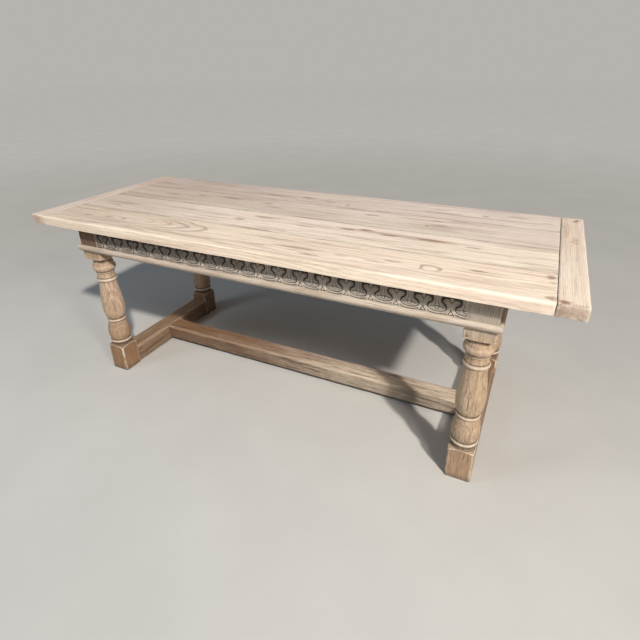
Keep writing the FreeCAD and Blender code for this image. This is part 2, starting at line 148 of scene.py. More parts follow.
# How each top board lies in its log, and how strongly its rings and the lime show
BOARDS = {
    "top_board_front": dict(
        shift=(0.0, 0.0, -0.75), ring=0.0085, pith=(0.0, -0.355, -0.052), lean=(0.0, 0.035, 0.012),
        waver=0.034, ring_share=0.55, lime_share=0.42),
    "top_board_front_middle": dict(
        shift=(3.1, 0.0, -0.72), ring=0.0070, pith=(0.0, -0.110, -0.060), lean=(0.0, -0.020, 0.016),
        waver=0.030, ring_share=0.50, lime_share=0.55),
    "top_board_back_middle": dict(
        shift=(6.4, 0.0, -0.74), ring=0.0066, pith=(0.0, 0.135, -0.080), lean=(0.0, 0.016, -0.02),
        waver=0.026, ring_share=0.46, lime_share=0.40),
    "top_board_back": dict(
        shift=(9.7, 0.0, -0.70), ring=0.0074, pith=(0.0, 0.300, -0.090), lean=(0.0, -0.014, 0.02),
        waver=0.028, ring_share=0.46, lime_share=0.38),
}
BOARD_WIDTH = 2 * HALF_WIDTH / len(BOARDS)

# Grain arches: middle along and across, half length and half width in millimetres, rings, strength,
# the axis along which the oval is open and where it closes
ARCHES = {
    "top_board_front": (
        (-640, -292, 435, 84, 5.2, 0.66, 0, -0.10), (641, -318, 36, 33, 1.08, 0.80, 1, -0.75),
    ),
}

# Knots and stains in the top: middle along and across, half length and half width in millimetres,
# and strength in percent
STAINS = {
    "top_board_front": (
        (52, -268, 150, 7, 50), (290, -250, 140, 6, 45), (178, -322, 85, 11, 60), (247, -361, 42, 6, 80),
        (350, -325, 30, 11, 35), (470, -333, 45, 6, 55), (522, -310, 36, 7, 70), (780, -282, 36, 6, 85),
        (840, -281, 50, 5, 40), (980, -243, 16, 17, 75), (985, -285, 12, 12, 45), (984, -388, 14, 16, 75),
        (-642, -303, 14, 11, 85), (-724, -306, 26, 10, 60), (-828, -318, 30, 10, 40), (-728, -386, 50, 6, 55),
        (-890, -256, 110, 5, 45), (790, -352, 120, 6, 28),
    ),
    "top_board_front_middle": (
        (268, -67, 34, 11, 85), (336, -52, 34, 11, 90), (430, -73, 48, 10, 85), (375, -62, 150, 14, 45),
        (585, -70, 60, 14, 85), (560, -68, 120, 20, 35), (733, -88, 24, 9, 60), (100, -100, 45, 10, 40),
        (390, -147, 85, 4, 45), (-106, -60, 50, 11, 50), (-192, -116, 28, 14, 55), (-310, -136, 85, 5, 45),
        (-330, -165, 110, 7, 35), (-520, -78, 150, 9, 40), (-460, -82, 30, 8, 45), (-850, -112, 110, 6, 40),
        (930, -160, 70, 12, 30), (850, -36, 90, 8, 30),
    ),
    "top_board_back_middle": (
        (286, 143, 38, 11, 60), (571, 108, 50, 14, 55), (530, 93, 10, 9, 75), (557, 164, 22, 10, 45),
        (636, 186, 50, 5, 50), (850, 50, 150, 3, 55), (-742, 106, 58, 9, 60), (-581, 139, 18, 12, 50),
        (-420, 150, 60, 10, 55), (-395, 136, 40, 6, 50), (-213, 132, 34, 11, 55), (-156, 89, 50, 7, 50),
    ),
    "top_board_back": (
        (141, 241, 14, 13, 55), (529, 329, 45, 8, 45), (545, 287, 85, 10, 55), (718, 304, 14, 12, 60),
        (836, 336, 40, 10, 45), (946, 296, 22, 8, 45), (-931, 289, 42, 10, 45), (-230, 275, 80, 10, 55),
        (-85, 293, 34, 12, 60), (-560, 345, 60, 8, 35), (43, 264, 26, 12, 30),
    ),
    "cleat_right": (
        (1048, 372, 10, 24, 100), (1012, 250, 6, 110, 40), (1012, -402, 16, 14, 100), (1050, -410, 30, 6, 55),
        (1040, 120, 10, 50, 35), (1035, -415, 50, 4, 35),
    ),
    "cleat_left": ((-1040, -120, 10, 50, 35), (-1030, 260, 8, 80, 35), (-1035, -414, 50, 5, 80)),
}

# Lights: name, kind, power, colour, width (the sun's in radians), place and aim
WARM, COOL = (1.0, 0.96, 0.90), (0.76, 0.88, 1.0)
LIGHTS = (
    ("key", "SUN", 2.80, WARM, math.radians(3.0), (0.90, -0.80, 1.0), (0.0, 0.0, 0.0)),
    ("softbox", "AREA", 36.0, WARM, 0.5, (2.14, -1.69, 2.27), (0.35, -0.1, 0.6)),
    ("ceiling", "AREA", 21.0, COOL, 3.0, (0.2, -0.4, 3.4), (0.2, -0.3, 0.4)),
    ("fill", "AREA", 30.0, COOL, 1.2, (-2.2, -2.4, 2.6), (0.2, -0.3, 0.4)),
)

# Camera: place in metres, angles in radians, lens and sensor in millimetres
CAMERA_PLACE = (0.9061, -1.6330, 1.3259)
CAMERA_YAW, CAMERA_PITCH, CAMERA_ROLL = 0.4527, 0.4677, -0.0152
CAMERA_LENS, CAMERA_SENSOR, CAMERA_SHIFT = 26.02, 36.0, -0.0324


# Colours and sizes a user would change

def length(name, description, value):
    limits = dict(min=0.0, precision=4, unit="LENGTH")
    return FloatProperty(name=name, description=description, default=value, **limits)


def whole_number(name, description, value, low, high):
    return IntProperty(name=name, description=description, default=value, min=low, max=high)


def colour(name, description, value):
    limits = dict(min=0.0, max=1.0, subtype="COLOR")
    return FloatVectorProperty(name=name, description=description, default=value, **limits)


def body_of(timber, value):
    return colour(timber.capitalize(), "Body colour of the " + timber, value)


class TableSizes(bpy.types.PropertyGroup):
    """Sizes of edges, gaps, wear and carving."""

    arris: length("Top arris", "Rounding along the top's outer edges", 0.006)
    lower_arris: length("Lower arris", "Rounding along the top's lower outer edges", 0.002)
    corner: length("Top corner", "Rounding of the top's four corners seen from above", 0.008)
    seam_gap: length("Seam gap", "Gap between two top boards", 0.0005)
    cleat_gap: length("Cleat gap", "Gap between the boards and a cleat", 0.0007)
    ripple: length("Ripple", "Depth of the slow ripple on flat faces", 0.0006)
    edge_wear: length("Edge wear", "Depth of uneven wear along edges", 0.0020)
    leg_wear: length("Leg wear", "Depth of wear on the turned legs", 0.0007)
    leg_columns: whole_number("Leg columns", "Divisions round a turned leg", 128, 32, 160)
    carving_count: whole_number("Bowls", "Carved bowls along a long rail", 18, 1, 40)
    carving_depth: length("Carving depth", "Depth of the carving's sunk fields", 0.006)
    carving_drift: length("Carving drift", "How far the hand-cut carving strays from its pattern", 0.0012)
    chamfer: length("Chamfer", "Width of the stretchers' stopped chamfers", 0.006)
    chamfer_stop: length("Chamfer stop", "Plain length left at a chamfer's end", 0.022)
    peg_proud: length("Peg proud", "How far a peg's end stands off the face", 0.0005)


class OakColours(bpy.types.PropertyGroup):
    """Body colour of each timber and of what has gathered in or worn off it, with the painted light and shade
    laid on some of them.
    """

    top_board_front: body_of("front top board", (0.94, 0.782, 0.632))
    top_board_front_middle: body_of("second top board", (0.915, 0.782, 0.652))
    top_board_back_middle: body_of("third top board", (0.77, 0.65, 0.568))
    top_board_back: body_of("back top board", (0.765, 0.65, 0.585))
    # Painted shade: the boards darken toward the left, standing in for the lamp's light falling off there
    board_left_shade: colour("Dull boards", "Duller tone that the boards take on to the left", (0.46, 0.365, 0.295))
    cleat: body_of("cleats", (0.79, 0.635, 0.53))
    # Painted shade: the left cleat is darkened, as the lamp's light falls off toward the left
    cleat_left_shade: colour("Dull cleat", "Duller tone of the left cleat", (0.46, 0.35, 0.28))
    leg: body_of("turned legs", (0.51, 0.366, 0.252))
    foot: body_of("square feet", (0.282, 0.159, 0.084))
    # The rails' dark grey is partly painted shade of the top's overhang, and their darker left end is painted
    # shade; the carving's paler lower band is painted light
    frieze: body_of("rails", (0.155, 0.152, 0.147))
    frieze_left_shade: colour("Dark frieze", "Darker left end of the long rails", (0.075, 0.062, 0.050))
    # The leg blocks' grey, and the front left block's dark brown, are partly painted shade: they are laid on
    # above the moulding, where the top's overhang shades the blocks
    block: body_of("leg blocks", (0.42, 0.372, 0.33))
    block_shaded: body_of("front left leg's block", (0.13, 0.075, 0.045))
    moulding: body_of("moulding", (0.36, 0.295, 0.232))
    # Painted light: the front moulding pales toward its right end, nearer the lamp
    moulding_pale: colour("Scrubbed moulding", "Paler right end of the front moulding", (0.63, 0.55, 0.48))
    stretcher: body_of("stretchers", (0.262, 0.147, 0.076))
    # Painted light: the long stretcher pales toward its right end, nearer the lamp
    stretcher_lit_end: colour("Lit stretcher", "Paler right end of the long stretcher", (0.80, 0.67, 0.54))
    peg: body_of("pegs", (0.36, 0.24, 0.14))
    hidden: body_of("tongues and buttons", (0.56, 0.42, 0.28))
    limewash: colour("Limewash", "Pale lime left in the grain and on worn edges", (0.92, 0.81, 0.68))
    grain: colour("Grain", "Dark grain, knots and old stain", (0.22, 0.095, 0.045))
    leg_grain: colour("Leg grain", "Dark grain of the legs", (0.12, 0.06, 0.032))
    stretcher_grain: colour("Stretcher grain", "Dark grain of the stretchers", (0.065, 0.032, 0.017))
    # Dark colour for old finish left in hollows and joints, also used for painted shade in grooves, quirks,
    # the carving and on the stretchers' upright faces
    grime: colour("Grime", "Old dark finish left in hollows", (0.030, 0.023, 0.018))
    iron: colour("Iron", "Pins and screws", (0.09, 0.08, 0.075))
    rust: colour("Rust", "Rust on pins and screws", (0.16, 0.062, 0.026))
    floor: colour("Floor", "Floor under the table", (0.585, 0.565, 0.535))
    # Painted light: the floor pales away from the table, making up for the lamps' light thinning out, so that
    # it meets the backdrop
    floor_far: colour("Far floor", "Floor far from the table", (0.78, 0.775, 0.77))


def sizes():
    return bpy.context.scene.table_sizes


def tint(name):
    return tuple(getattr(bpy.context.scene.table_colours, name))


def between(one, other, share):
    return tuple(a + (b - a) * share for a, b in zip(one, other))


# Node trees

class Value:
    """Output of a node, for sums that go on in further nodes."""

    def __init__(self, nodes, socket):
        self.nodes = nodes
        self.socket = socket
        self.wide = socket.type in ("VECTOR", "RGBA")

    def __add__(self, other):
        return self.nodes.do("ADD", self, other)

    def __sub__(self, other):
        return self.nodes.do("SUBTRACT", self, other)

    def __mul__(self, other):
        return self.nodes.do("MULTIPLY", self, other)

    def __truediv__(self, other):
        return self.nodes.do("DIVIDE", self, other)


class Nodes:
    """Adds nodes to a tree and links or sets what each is given."""

    def __init__(self, tree):
        self.tree = tree

    def fill(self, node, values):
        for key, value in values.items():
            if isinstance(key, int):
                socket = node.inputs[key]
            else:
                socket = next(one for one in node.inputs if one.name == key and one.enabled)
            if isinstance(value, Value):
                self.tree.links.new(value.socket, socket)
            elif socket.type == "RGBA":
                socket.default_value = (*value, 1.0)
            elif socket.type == "VECTOR" and not isinstance(value, tuple):
                socket.default_value = (value,) * 3
            else:
                socket.default_value = value
        return node

    def add(self, kind, inputs=None, **settings):
        node = self.tree.nodes.new(kind)
        for name, value in settings.items():
            setattr(node, name, value)
        return self.fill(node, inputs or {})

    def out(self, kind, inputs=None, output=None, **settings):
        node = self.add(kind, inputs, **settings)
        if output is None:
            return Value(self, next(one for one in node.outputs if one.enabled))
        return Value(self, node.outputs[output])

    def outs(self, node):
        return [Value(self, one) for one in node.outputs]

    def do(self, operation, *values):
        """A sum on numbers, or on vectors if any of the values is one."""
        wide = any(isinstance(one, tuple) or isinstance(one, Value) and one.wide for one in values)
        kind = "ShaderNodeVectorMath" if wide else "ShaderNodeMath"
        output = "Value" if operation == "LENGTH" else 0
        return self.out(kind, dict(enumerate(values)), output, operation=operation)

    def ramp(self, value, low, high, to_low=0.0, to_high=1.0):
        inputs = dict(enumerate((value, low, high, to_low, to_high)))
        return self.out("ShaderNodeMapRange", inputs, interpolation_type="SMOOTHSTEP")

    def noise(self, vector, scale=1.0, detail=2.0, roughness=0.55, output=0):
        inputs = {"Vector": vector, "Scale": scale, "Detail": detail, "Roughness": roughness}
        return self.out("ShaderNodeTexNoise", inputs, output)

    def stray(self, vector, scale=1.0, detail=2.0, roughness=0.55):
        """Noise in three directions, about zero."""
        return self.noise(vector, scale, detail, roughness, 1) - (0.5, 0.5, 0.5)

    def mix(self, share, one, other, blend="MIX"):
        inputs = {0: share, 6: one, 7: other}
        return self.out("ShaderNodeMix", inputs, 2, data_type="RGBA", blend_type=blend)

    def split(self, vector):
        return self.outs(self.add("ShaderNodeSeparateXYZ", {0: vector}))

    def join(self, x, y, z):
        return self.out("ShaderNodeCombineXYZ", {0: x, 1: y, 2: z})

    def attribute(self, name):
        return self.out("ShaderNodeAttribute", output="Fac", attribute_name=name)

    def bump(self, strength, distance, height):
        return self.out("ShaderNodeBump", {"Strength": strength, "Distance": distance, "Height": height})


SOCKETS = {tuple: "Vector", int: "Int", float: "Float"}


def group_tree(name, kind, inputs, outputs):
    """Node group whose sockets have a first value or only a kind: tree, nodes, inputs and end node."""
    tree = bpy.data.node_groups.new(name, kind)
    for way, sockets in (("INPUT", inputs), ("OUTPUT", outputs)):
        for label, value in sockets.items():
            socket = SOCKETS.get(type(value), value)
            item = tree.interface.new_socket(label, in_out=way, socket_type="NodeSocket" + socket)
            if socket != value:
                item.default_value = value
    n = Nodes(tree)
    given = {one.socket.name: one for one in n.outs(n.add("NodeGroupInput"))}
    return tree, n, given, n.add("NodeGroupOutput")


def piece_tree(name, inputs):
    """Geometry tree for a piece, with its own inputs between the geometry and the finish."""
    inputs = {"Geometry": "Geometry", **inputs, "Finish": "Material"}
    return group_tree(name, "GeometryNodeTree", inputs, {"Geometry": "Geometry"})


def close_tree(n, given, end, shape):
    """Ends a geometry tree with real meshes in the finish that it is given."""
    shape = n.out("GeometryNodeRealizeInstances", {0: shape})
    shape = n.out("GeometryNodeSetMaterial", {"Geometry": shape, "Material": given["Finish"]})
    n.fill(end, {"Geometry": shape})


def run_tree(piece, tree, values):
    """Gives a piece the plain mesh that a geometry tree makes of it."""
    modifier = piece.modifiers.new(tree.name, "NODES")
    modifier.node_group = tree
    for item in tree.interface.items_tree:
        if item.in_out == "INPUT" and item.name in values:
            modifier[item.identifier] = values[item.name]
    graph = bpy.context.evaluated_depsgraph_get()
    shown = piece.evaluated_get(graph)
    made = bpy.data.meshes.new_from_object(shown, preserve_all_data_layers=True, depsgraph=graph)
    piece.modifiers.remove(modifier)
    old = piece.data
    piece.data = made
    bpy.data.meshes.remove(old)
    made.name = piece.name
    return made


# Finishes

def new_finish(name):
    """New material: itself, its nodes, its shader and where a point lies on the piece."""
    material = bpy.data.materials.new(name)
    material.use_nodes = True
    n = Nodes(material.node_tree)
    return material, n, n.tree.nodes["Principled BSDF"], n.out("ShaderNodeTexCoord", output="Object")


def oak_figure():
    """Shader group with the figure of oak: rings about a pith, streaks, fibres, pores and blotches."""
    tree = bpy.data.node_groups.get("Oak figure")
    if tree:
        return tree
    inputs = {"Vector": "Vector", "Ring width": 0.006, "Pith": (0.0, 0.0, -0.1), "Lean": (0.0, 0.0, 0.03),
              "Waver": 0.02, "Streaks": 40.0}
    outputs = ("Ring", "Streak", "Fibre", "Pore", "Blotch", "Open grain", "Thin", "Tone")
    tree, n, given, end = group_tree("Oak figure", "ShaderNodeTree", inputs, dict.fromkeys(outputs, "Float"))
    place, across = given["Vector"], given["Streaks"]
    along = n.split(place)[0]
    sway = n.stray(place * (1.5, 6.0, 6.0)) + n.stray(place * (7.0, 26.0, 26.0)) * 0.22
    sway = sway * given["Waver"]
    off = place - (given["Lean"] * along + given["Pith"]) + sway
    turns = n.do("LENGTH", off * (0.0, 1.0, 1.0)) / given["Ring width"]
    part = n.do("FRACT", turns)
    chance = n.out("ShaderNodeTexWhiteNoise", {"W": n.do("FLOOR", turns)}, "Value", noise_dimensions="1D")
    band = n.ramp(part, 0.0, 0.10) * n.ramp(part, 0.75, 0.12)
    bent, eased, fine = (place + sway * (0.0, share, share) for share in (0.6, 0.4, 0.12))
    narrow = across * 4.2
    pits = n.noise(fine * (34.0, 820.0, 820.0), 1.0, 1.0, 0.5)
    opened = n.noise(fine * (13.0, 300.0, 300.0), 1.0, 2.0, 0.6)
    patches = n.noise(place * (5.0, 24.0, 24.0))
    n.fill(end, {
        "Ring": band * (n.do("POWER", chance, 1.6) * 0.8 + 0.2),
        "Streak": n.noise(bent * n.join(across * 0.055, across, across), 1.0, 4.0, 0.62),
        "Fibre": n.noise(fine * (22.0, 640.0, 640.0), 1.0, 2.0, 0.6),
        "Pore": n.ramp(pits, 0.56, 0.68) * (band * 0.75 + 0.25),
        "Blotch": n.noise(place * (2.2, 6.5, 6.5), 1.0, 3.0, 0.6),
        "Open grain": n.ramp(opened, 0.55, 0.66) * n.ramp(patches, 0.40, 0.60, 0.25, 1.0),
        "Thin": n.noise(eased * n.join(across * 0.10, narrow, narrow), 1.0, 3.0, 0.6),
        "Tone": n.noise(bent * (0.9, 11.0, 11.0), 1.0, 2.0, 0.5),
    })
    return tree


def about(n, place, x, y, long_half, cross_half):
    """Where a point lies in an oval given in millimetres, 1 being its outline."""
    shrink = (1000.0 / long_half, 1000.0 / cross_half, 0.0)
    return n.do("MULTIPLY_ADD", place, shrink, (-x / long_half, -y / cross_half, 0.0))


def stain_mask(n, place, stains, streak):
    """Share of stain at a point: ragged ovals drawn out along the grain."""
    moved = place + n.stray(place * (16.0, 60.0, 0.0), 1.0, 3.0, 0.65) * (0.050, 0.016, 0.0)
    total = 0.0
    for *oval, percent in stains:
        away = n.do("LENGTH", about(n, moved, *oval))
        total = n.do("MAXIMUM", total, n.ramp(away, 1.30, 0.45, 0.0, percent / 100))
    return total * n.ramp(streak, 0.30, 0.56, 0.72, 1.0)


def arch_mask(n, place, arches):
    """Grain arches on a flat-sawn face: nested ovals, open at one end, and ringed knots."""
    moved = place + n.stray(place * (9.0, 30.0, 0.0)) * (0.05, 0.022, 0.0)
    total = 0.0
    for *oval, rings, strength, axis, closes in arches:
        off = about(n, moved, *oval)
        away = n.do("LENGTH", off)
        part = n.do("FRACT", away * rings)
        line = n.ramp(part, 0.45, 0.80) * n.ramp(part, 1.0, 0.88) * n.ramp(away, 1.02, 0.98)
        line = line * n.ramp(away, 0.20, 0.45, 0.35, 1.0)
        line = line * n.ramp(n.split(off)[axis], closes, closes + 0.80, 0.0, strength)
        total = n.do("MAXIMUM", total, line)
    return total


def oak(name, body, turn, shift, ring=0.006, pith=(0.0, 0.0, -0.09), lean=(0.0, 0.0, 0.03), waver=0.02,
        streaks=40.0, ring_share=0.4, streak_share=0.5, pore_share=0.45, open_share=0.2, lime_share=0.45,
        thin_share=0.3, stains=(), arches=(), foot=None, shaded_head=None, toward=None, dark=None,
        worn=0.75, rough=0.62):
    """Limed oak of one body colour, its grain turned along the timber and shifted to a cut of its own."""
    material, n, shader, place = new_finish(name)
    x, _, z = n.split(place)
    cut = n.out("ShaderNodeMapping", {"Vector": place, "Rotation": turn, "Location": shift})
    inputs = {"Vector": cut, "Ring width": ring, "Pith": pith, "Lean": lean, "Waver": waver,
              "Streaks": streaks}
    figure = n.add("ShaderNodeGroup", inputs, node_tree=oak_figure())
    rings, streak, fibre, pore, blotch, opened, thin, tone = n.outs(figure)
    lime = between(body, tint("limewash"), lime_share)
    old = dark or tint("grain")
    deep = between(body, old, 0.75)
    calm = 1.0
    shade = n.mix(n.ramp(blotch, 0.36, 0.70), body, lime)
    if foot:
        low = z + blotch * 0.05 - 0.025
        shade = n.mix(n.ramp(low, 0.310, 0.250, 0.0, 0.48), shade, foot)
        shade = n.mix(n.ramp(low, 0.155, 0.128), shade, foot)
    # Painted shade: above the moulding the block colour takes over and the grain is calmed, where the top's
    # overhang shades the blocks
    if shaded_head:
        rise = n.ramp(z, 0.575, 0.640)
        shade = n.mix(rise, shade, shaded_head)
        calm = n.do("SUBTRACT", 1.0, rise * 0.70)
    # Colour drift along the length: on the top boards, the long rails, the front moulding and the long
    # stretcher it is painted light and shade, falling off toward the left
    if toward:
        far, near, other, share = toward
        shade = n.mix(n.ramp(x + blotch * 0.8 - 0.4, far, near, 0.0, share), shade, other)
    cast = n.mix(n.ramp(tone, 0.38, 0.62), (1.0, 1.0, 0.95), (1.0, 0.965, 0.965))
    shade = n.mix(1.0, shade, cast, "MULTIPLY")
    shade = n.mix(rings * ring_share, shade, deep)
    shade = n.mix(n.ramp(streak, 0.50, 0.70, 0.0, streak_share) * calm, shade, deep)
    shade = n.mix(n.ramp(streak, 0.46, 0.26, 0.0, 0.55) * calm, shade, lime)
    shade = n.mix(n.ramp(thin, 0.50, 0.68, 0.0, thin_share) * calm, shade, deep)
    if arches:
        shade = n.mix(arch_mask(n, place, arches), shade, deep)
    if stains:
        shade = n.mix(stain_mask(n, place, stains, streak), shade, between(old, body, 0.12))
    shade = n.mix(1.0, shade, n.ramp(fibre, 0.25, 0.75, 0.91, 1.06), "MULTIPLY")
    shade = n.mix(pore * pore_share, shade, between(old, body, 0.2))
    shade = n.mix(opened * open_share * calm, shade, between(old, body, 0.15))
    # The wear attribute pales worn edges; on the top's edge faces and on the carving's lower band it is
    # painted light
    wear = n.attribute("wear")
    rubbed = wear * n.ramp(n.noise(place, 55.0, 3.0, 0.6), 0.30, 0.60, 0.45, worn)
    shade = n.mix(rubbed, shade, between(lime, tint("limewash"), 0.35))
    # Darkening: old finish in hollows and joints, and painted shade in grooves, quirks, the carving and on
    # the stretchers' upright faces
    darkening = n.attribute("grime") * n.ramp(n.noise(place, 40.0, 3.0, 0.6), 0.25, 0.65, 0.72, 1.0)
    shade = n.mix(darkening, shade, tint("grime"))
    height = fibre * 0.5 - rings * 0.45 - pore * 0.9 - opened * (1.2 * open_share)
    n.fill(shader, {
        "Base Color": shade,
        "Roughness": streak * 0.22 + (rough - 0.08) - wear * 0.10,
        "Specular IOR Level": 0.32,
        "Normal": n.bump(0.55, 0.0007, height),
    })
    return material


def iron(name):
    """Dull dark iron with a little rust."""
    material, n, shader, place = new_finish(name)
    spots = n.noise(place, 420.0, 4.0, 0.6)
    n.fill(shader, {
        "Base Color": n.mix(n.ramp(spots, 0.48, 0.66, 0.0, 0.7), tint("iron"), tint("rust")),
        "Roughness": n.ramp(spots, 0.3, 0.7, 0.42, 0.75),
        "Metallic": 0.85,
        "Normal": n.bump(0.4, 0.0004, spots),
    })
    return material


# Timbers in mesh code

def read(items, field, width, kind=np.float32):
    values = np.empty(len(items) * width, kind)
    items.foreach_get(field, values)
    return values.reshape(-1, width) if width > 1 else values


def at(mesh):
    return read(mesh.vertices, "co", 3)


def mark(mesh, name, values):
    attribute = mesh.attributes.new(name, "FLOAT", "POINT")
    attribute.data.foreach_set("value", np.asarray(values, np.float32).ravel())


def soft(value, low, high):
    t = np.clip((value - low) / (high - low), 0.0, 1.0)
    return t * t * (3.0 - 2.0 * t)


def groove(distance, half):
    return np.exp(-(distance / half) ** 2)


def bend_of(mesh):
    """Curvature at each vertex in turns per metre: above zero on edges, below zero in hollows."""
    place = at(mesh)
    facing = read(mesh.vertices, "normal", 3)
    ends = read(mesh.edges, "vertices", 2, np.int32)
    step = place[ends[:, 1]] - place[ends[:, 0]]
    squared = np.maximum((step ** 2).sum(1), 1e-9)
    total = np.zeros(len(place))
    seen = np.zeros(len(place))
    for end, sign in ((0, -2.0), (1, 2.0)):
        lean = sign * (facing[ends[:, end]] * step).sum(1) / squared
        np.add.at(total, ends[:, end], lean)
        np.add.at(seen, ends[:, end], 1.0)
    return total / np.maximum(seen, 1.0)


def spread(mesh, values):
    """Values averaged with their neighbours'."""
    ends = read(mesh.edges, "vertices", 2, np.int32)
    total = values.copy()
    seen = np.ones(len(values))
    for one, other in ((0, 1), (1, 0)):
        np.add.at(total, ends[:, one], values[ends[:, other]])
        np.add.at(seen, ends[:, one], 1.0)
    return total / seen


def new_mesh(name, points, faces=()):
    mesh = bpy.data.meshes.new(name)
    mesh.from_pydata(points, [], faces)
    return mesh


def ring_faces(rings, around):
    """Faces between rings of points, each ring joined to the next."""
    return [(i + j, i + (j + 1) % around, i + around + (j + 1) % around, i + around + j)
            for i in range(0, (rings - 1) * around, around) for j in range(around)]


def loft(name, rings):
    """Closed timber through rings of points that all run the same way round."""
    rings = np.asarray(rings, float)
    around = rings.shape[1]
    points = rings.reshape(-1, 3).tolist()
    faces = ring_faces(len(rings), around)
    for first in (0, (len(rings) - 1) * around):
        middle = len(points)
        points.append(rings[first // around].mean(0).tolist())
        faces.extend((first + j, first + (j + 1) % around, middle) for j in range(around))
    return outward(new_mesh(name, points, faces))


def outward(mesh):
    """Turns every face of a closed mesh outward and shades it smooth."""
    shape = bmesh.new()
    shape.from_mesh(mesh)
    bmesh.ops.recalc_face_normals(shape, faces=shape.faces)
    shape.to_mesh(mesh)
    shape.free()
    mesh.shade_smooth()
    mesh.update()
    return mesh


def ease(distance, radius):
    """How far a rounded end draws in at a distance from it."""
    short = min(max(radius - distance, 0.0), radius)
    return radius - math.sqrt(radius ** 2 - short ** 2)


def stations(low, high, spacing, radius):
    """Places along a timber: even ones, and closer ones where its ends are rounded."""
    count = max(2, round((high - low) / spacing))
    close = [radius * share for share in (0.06, 0.2, 0.42, 0.7, 1.0)]
    even = [low + (high - low) * i / count for i in range(count + 1)]
    even = [s for s in even if low + 1.3 * radius < s < high - 1.3 * radius]
    return [low, *[low + c for c in close], *even, *[high - c for c in reversed(close)], high]


def cut_up(corners, counts):
    """Closed outline through corners, each side cut into a count of its own."""
    outline = []
    for (a, b), (c, d), count in zip(corners, [*corners[1:], corners[0]], counts):
        outline += [(a + (c - a) * i / count, b + (d - b) * i / count) for i in range(count)]
    return outline


def section(a0, a1, b0, b1, radii, flats, steps=4):
    """Outline of a timber's section with its corners rounded, anticlockwise from the low corner."""
    corners, counts = [], []
    places = ((a0, b0, 1, 1), (a1, b0, -1, 1), (a1, b1, -1, -1), (a0, b1, 1, -1))
    for index, ((a, b, side_a, side_b), radius, flat) in enumerate(zip(places, radii, flats)):
        for step in range(steps + 1):
            t = math.pi * (1.0 + index / 2 + step / steps / 2)
            corners.append((a + radius * (side_a + math.cos(t)), b + radius * (side_b + math.sin(t))))
        counts += [1] * steps + [flat]
    return cut_up(corners, counts)


def weather(mesh, ripple, wear, stretch, seed, full_bend=120.0):
    """Draws every point in a little: a slow ripple all over, and uneven wear along the edges."""
    edge = np.clip(bend_of(mesh) / full_bend, 0.0, 1.0)
    facing = read(mesh.vertices, "normal", 3)
    place = at(mesh)
    start = Vector((seed * 7.31, seed * 3.17, seed * 5.53))
    for index, point in enumerate(place):
        spot = Vector(point * stretch) + start
        depth = ripple * (0.5 + 0.5 * noise.noise(spot))
        rub = max(0.0, noise.noise(spot * 2.3) + 0.6 * noise.noise(spot * 6.1) + 0.1)
        point -= facing[index] * (depth + wear * edge[index] * rub)
    mesh.vertices.foreach_set("co", place.ravel())
    mesh.update()


def add_shell(mesh, low, high):
    """Adds a small closed block to a mesh, for a tongue that shows only through a gap."""
    shape = bmesh.new()
    shape.from_mesh(mesh)
    made = bmesh.ops.create_cube(shape, size=1.0)
    middle = (Vector(low) + Vector(high)) / 2
    span = Vector(high) - Vector(low)
    for vertex in made["verts"]:
        vertex.co = middle + vertex.co * span
    shape.to_mesh(mesh)
    shape.free()
    mesh.update()


def place_object(name, data):
    made = bpy.data.objects.new(name, data)
    bpy.context.scene.collection.objects.link(made)
    return made


def stand_for(node, piece, material, angle=40.0):
    """Gives a finished piece its material, its creases and its place in the frame."""
    piece.data.materials.clear()
    piece.data.materials.append(material)
    piece.data.set_sharp_from_angle(angle=math.radians(angle))
    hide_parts(node)
    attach(piece, "root")


# Table top

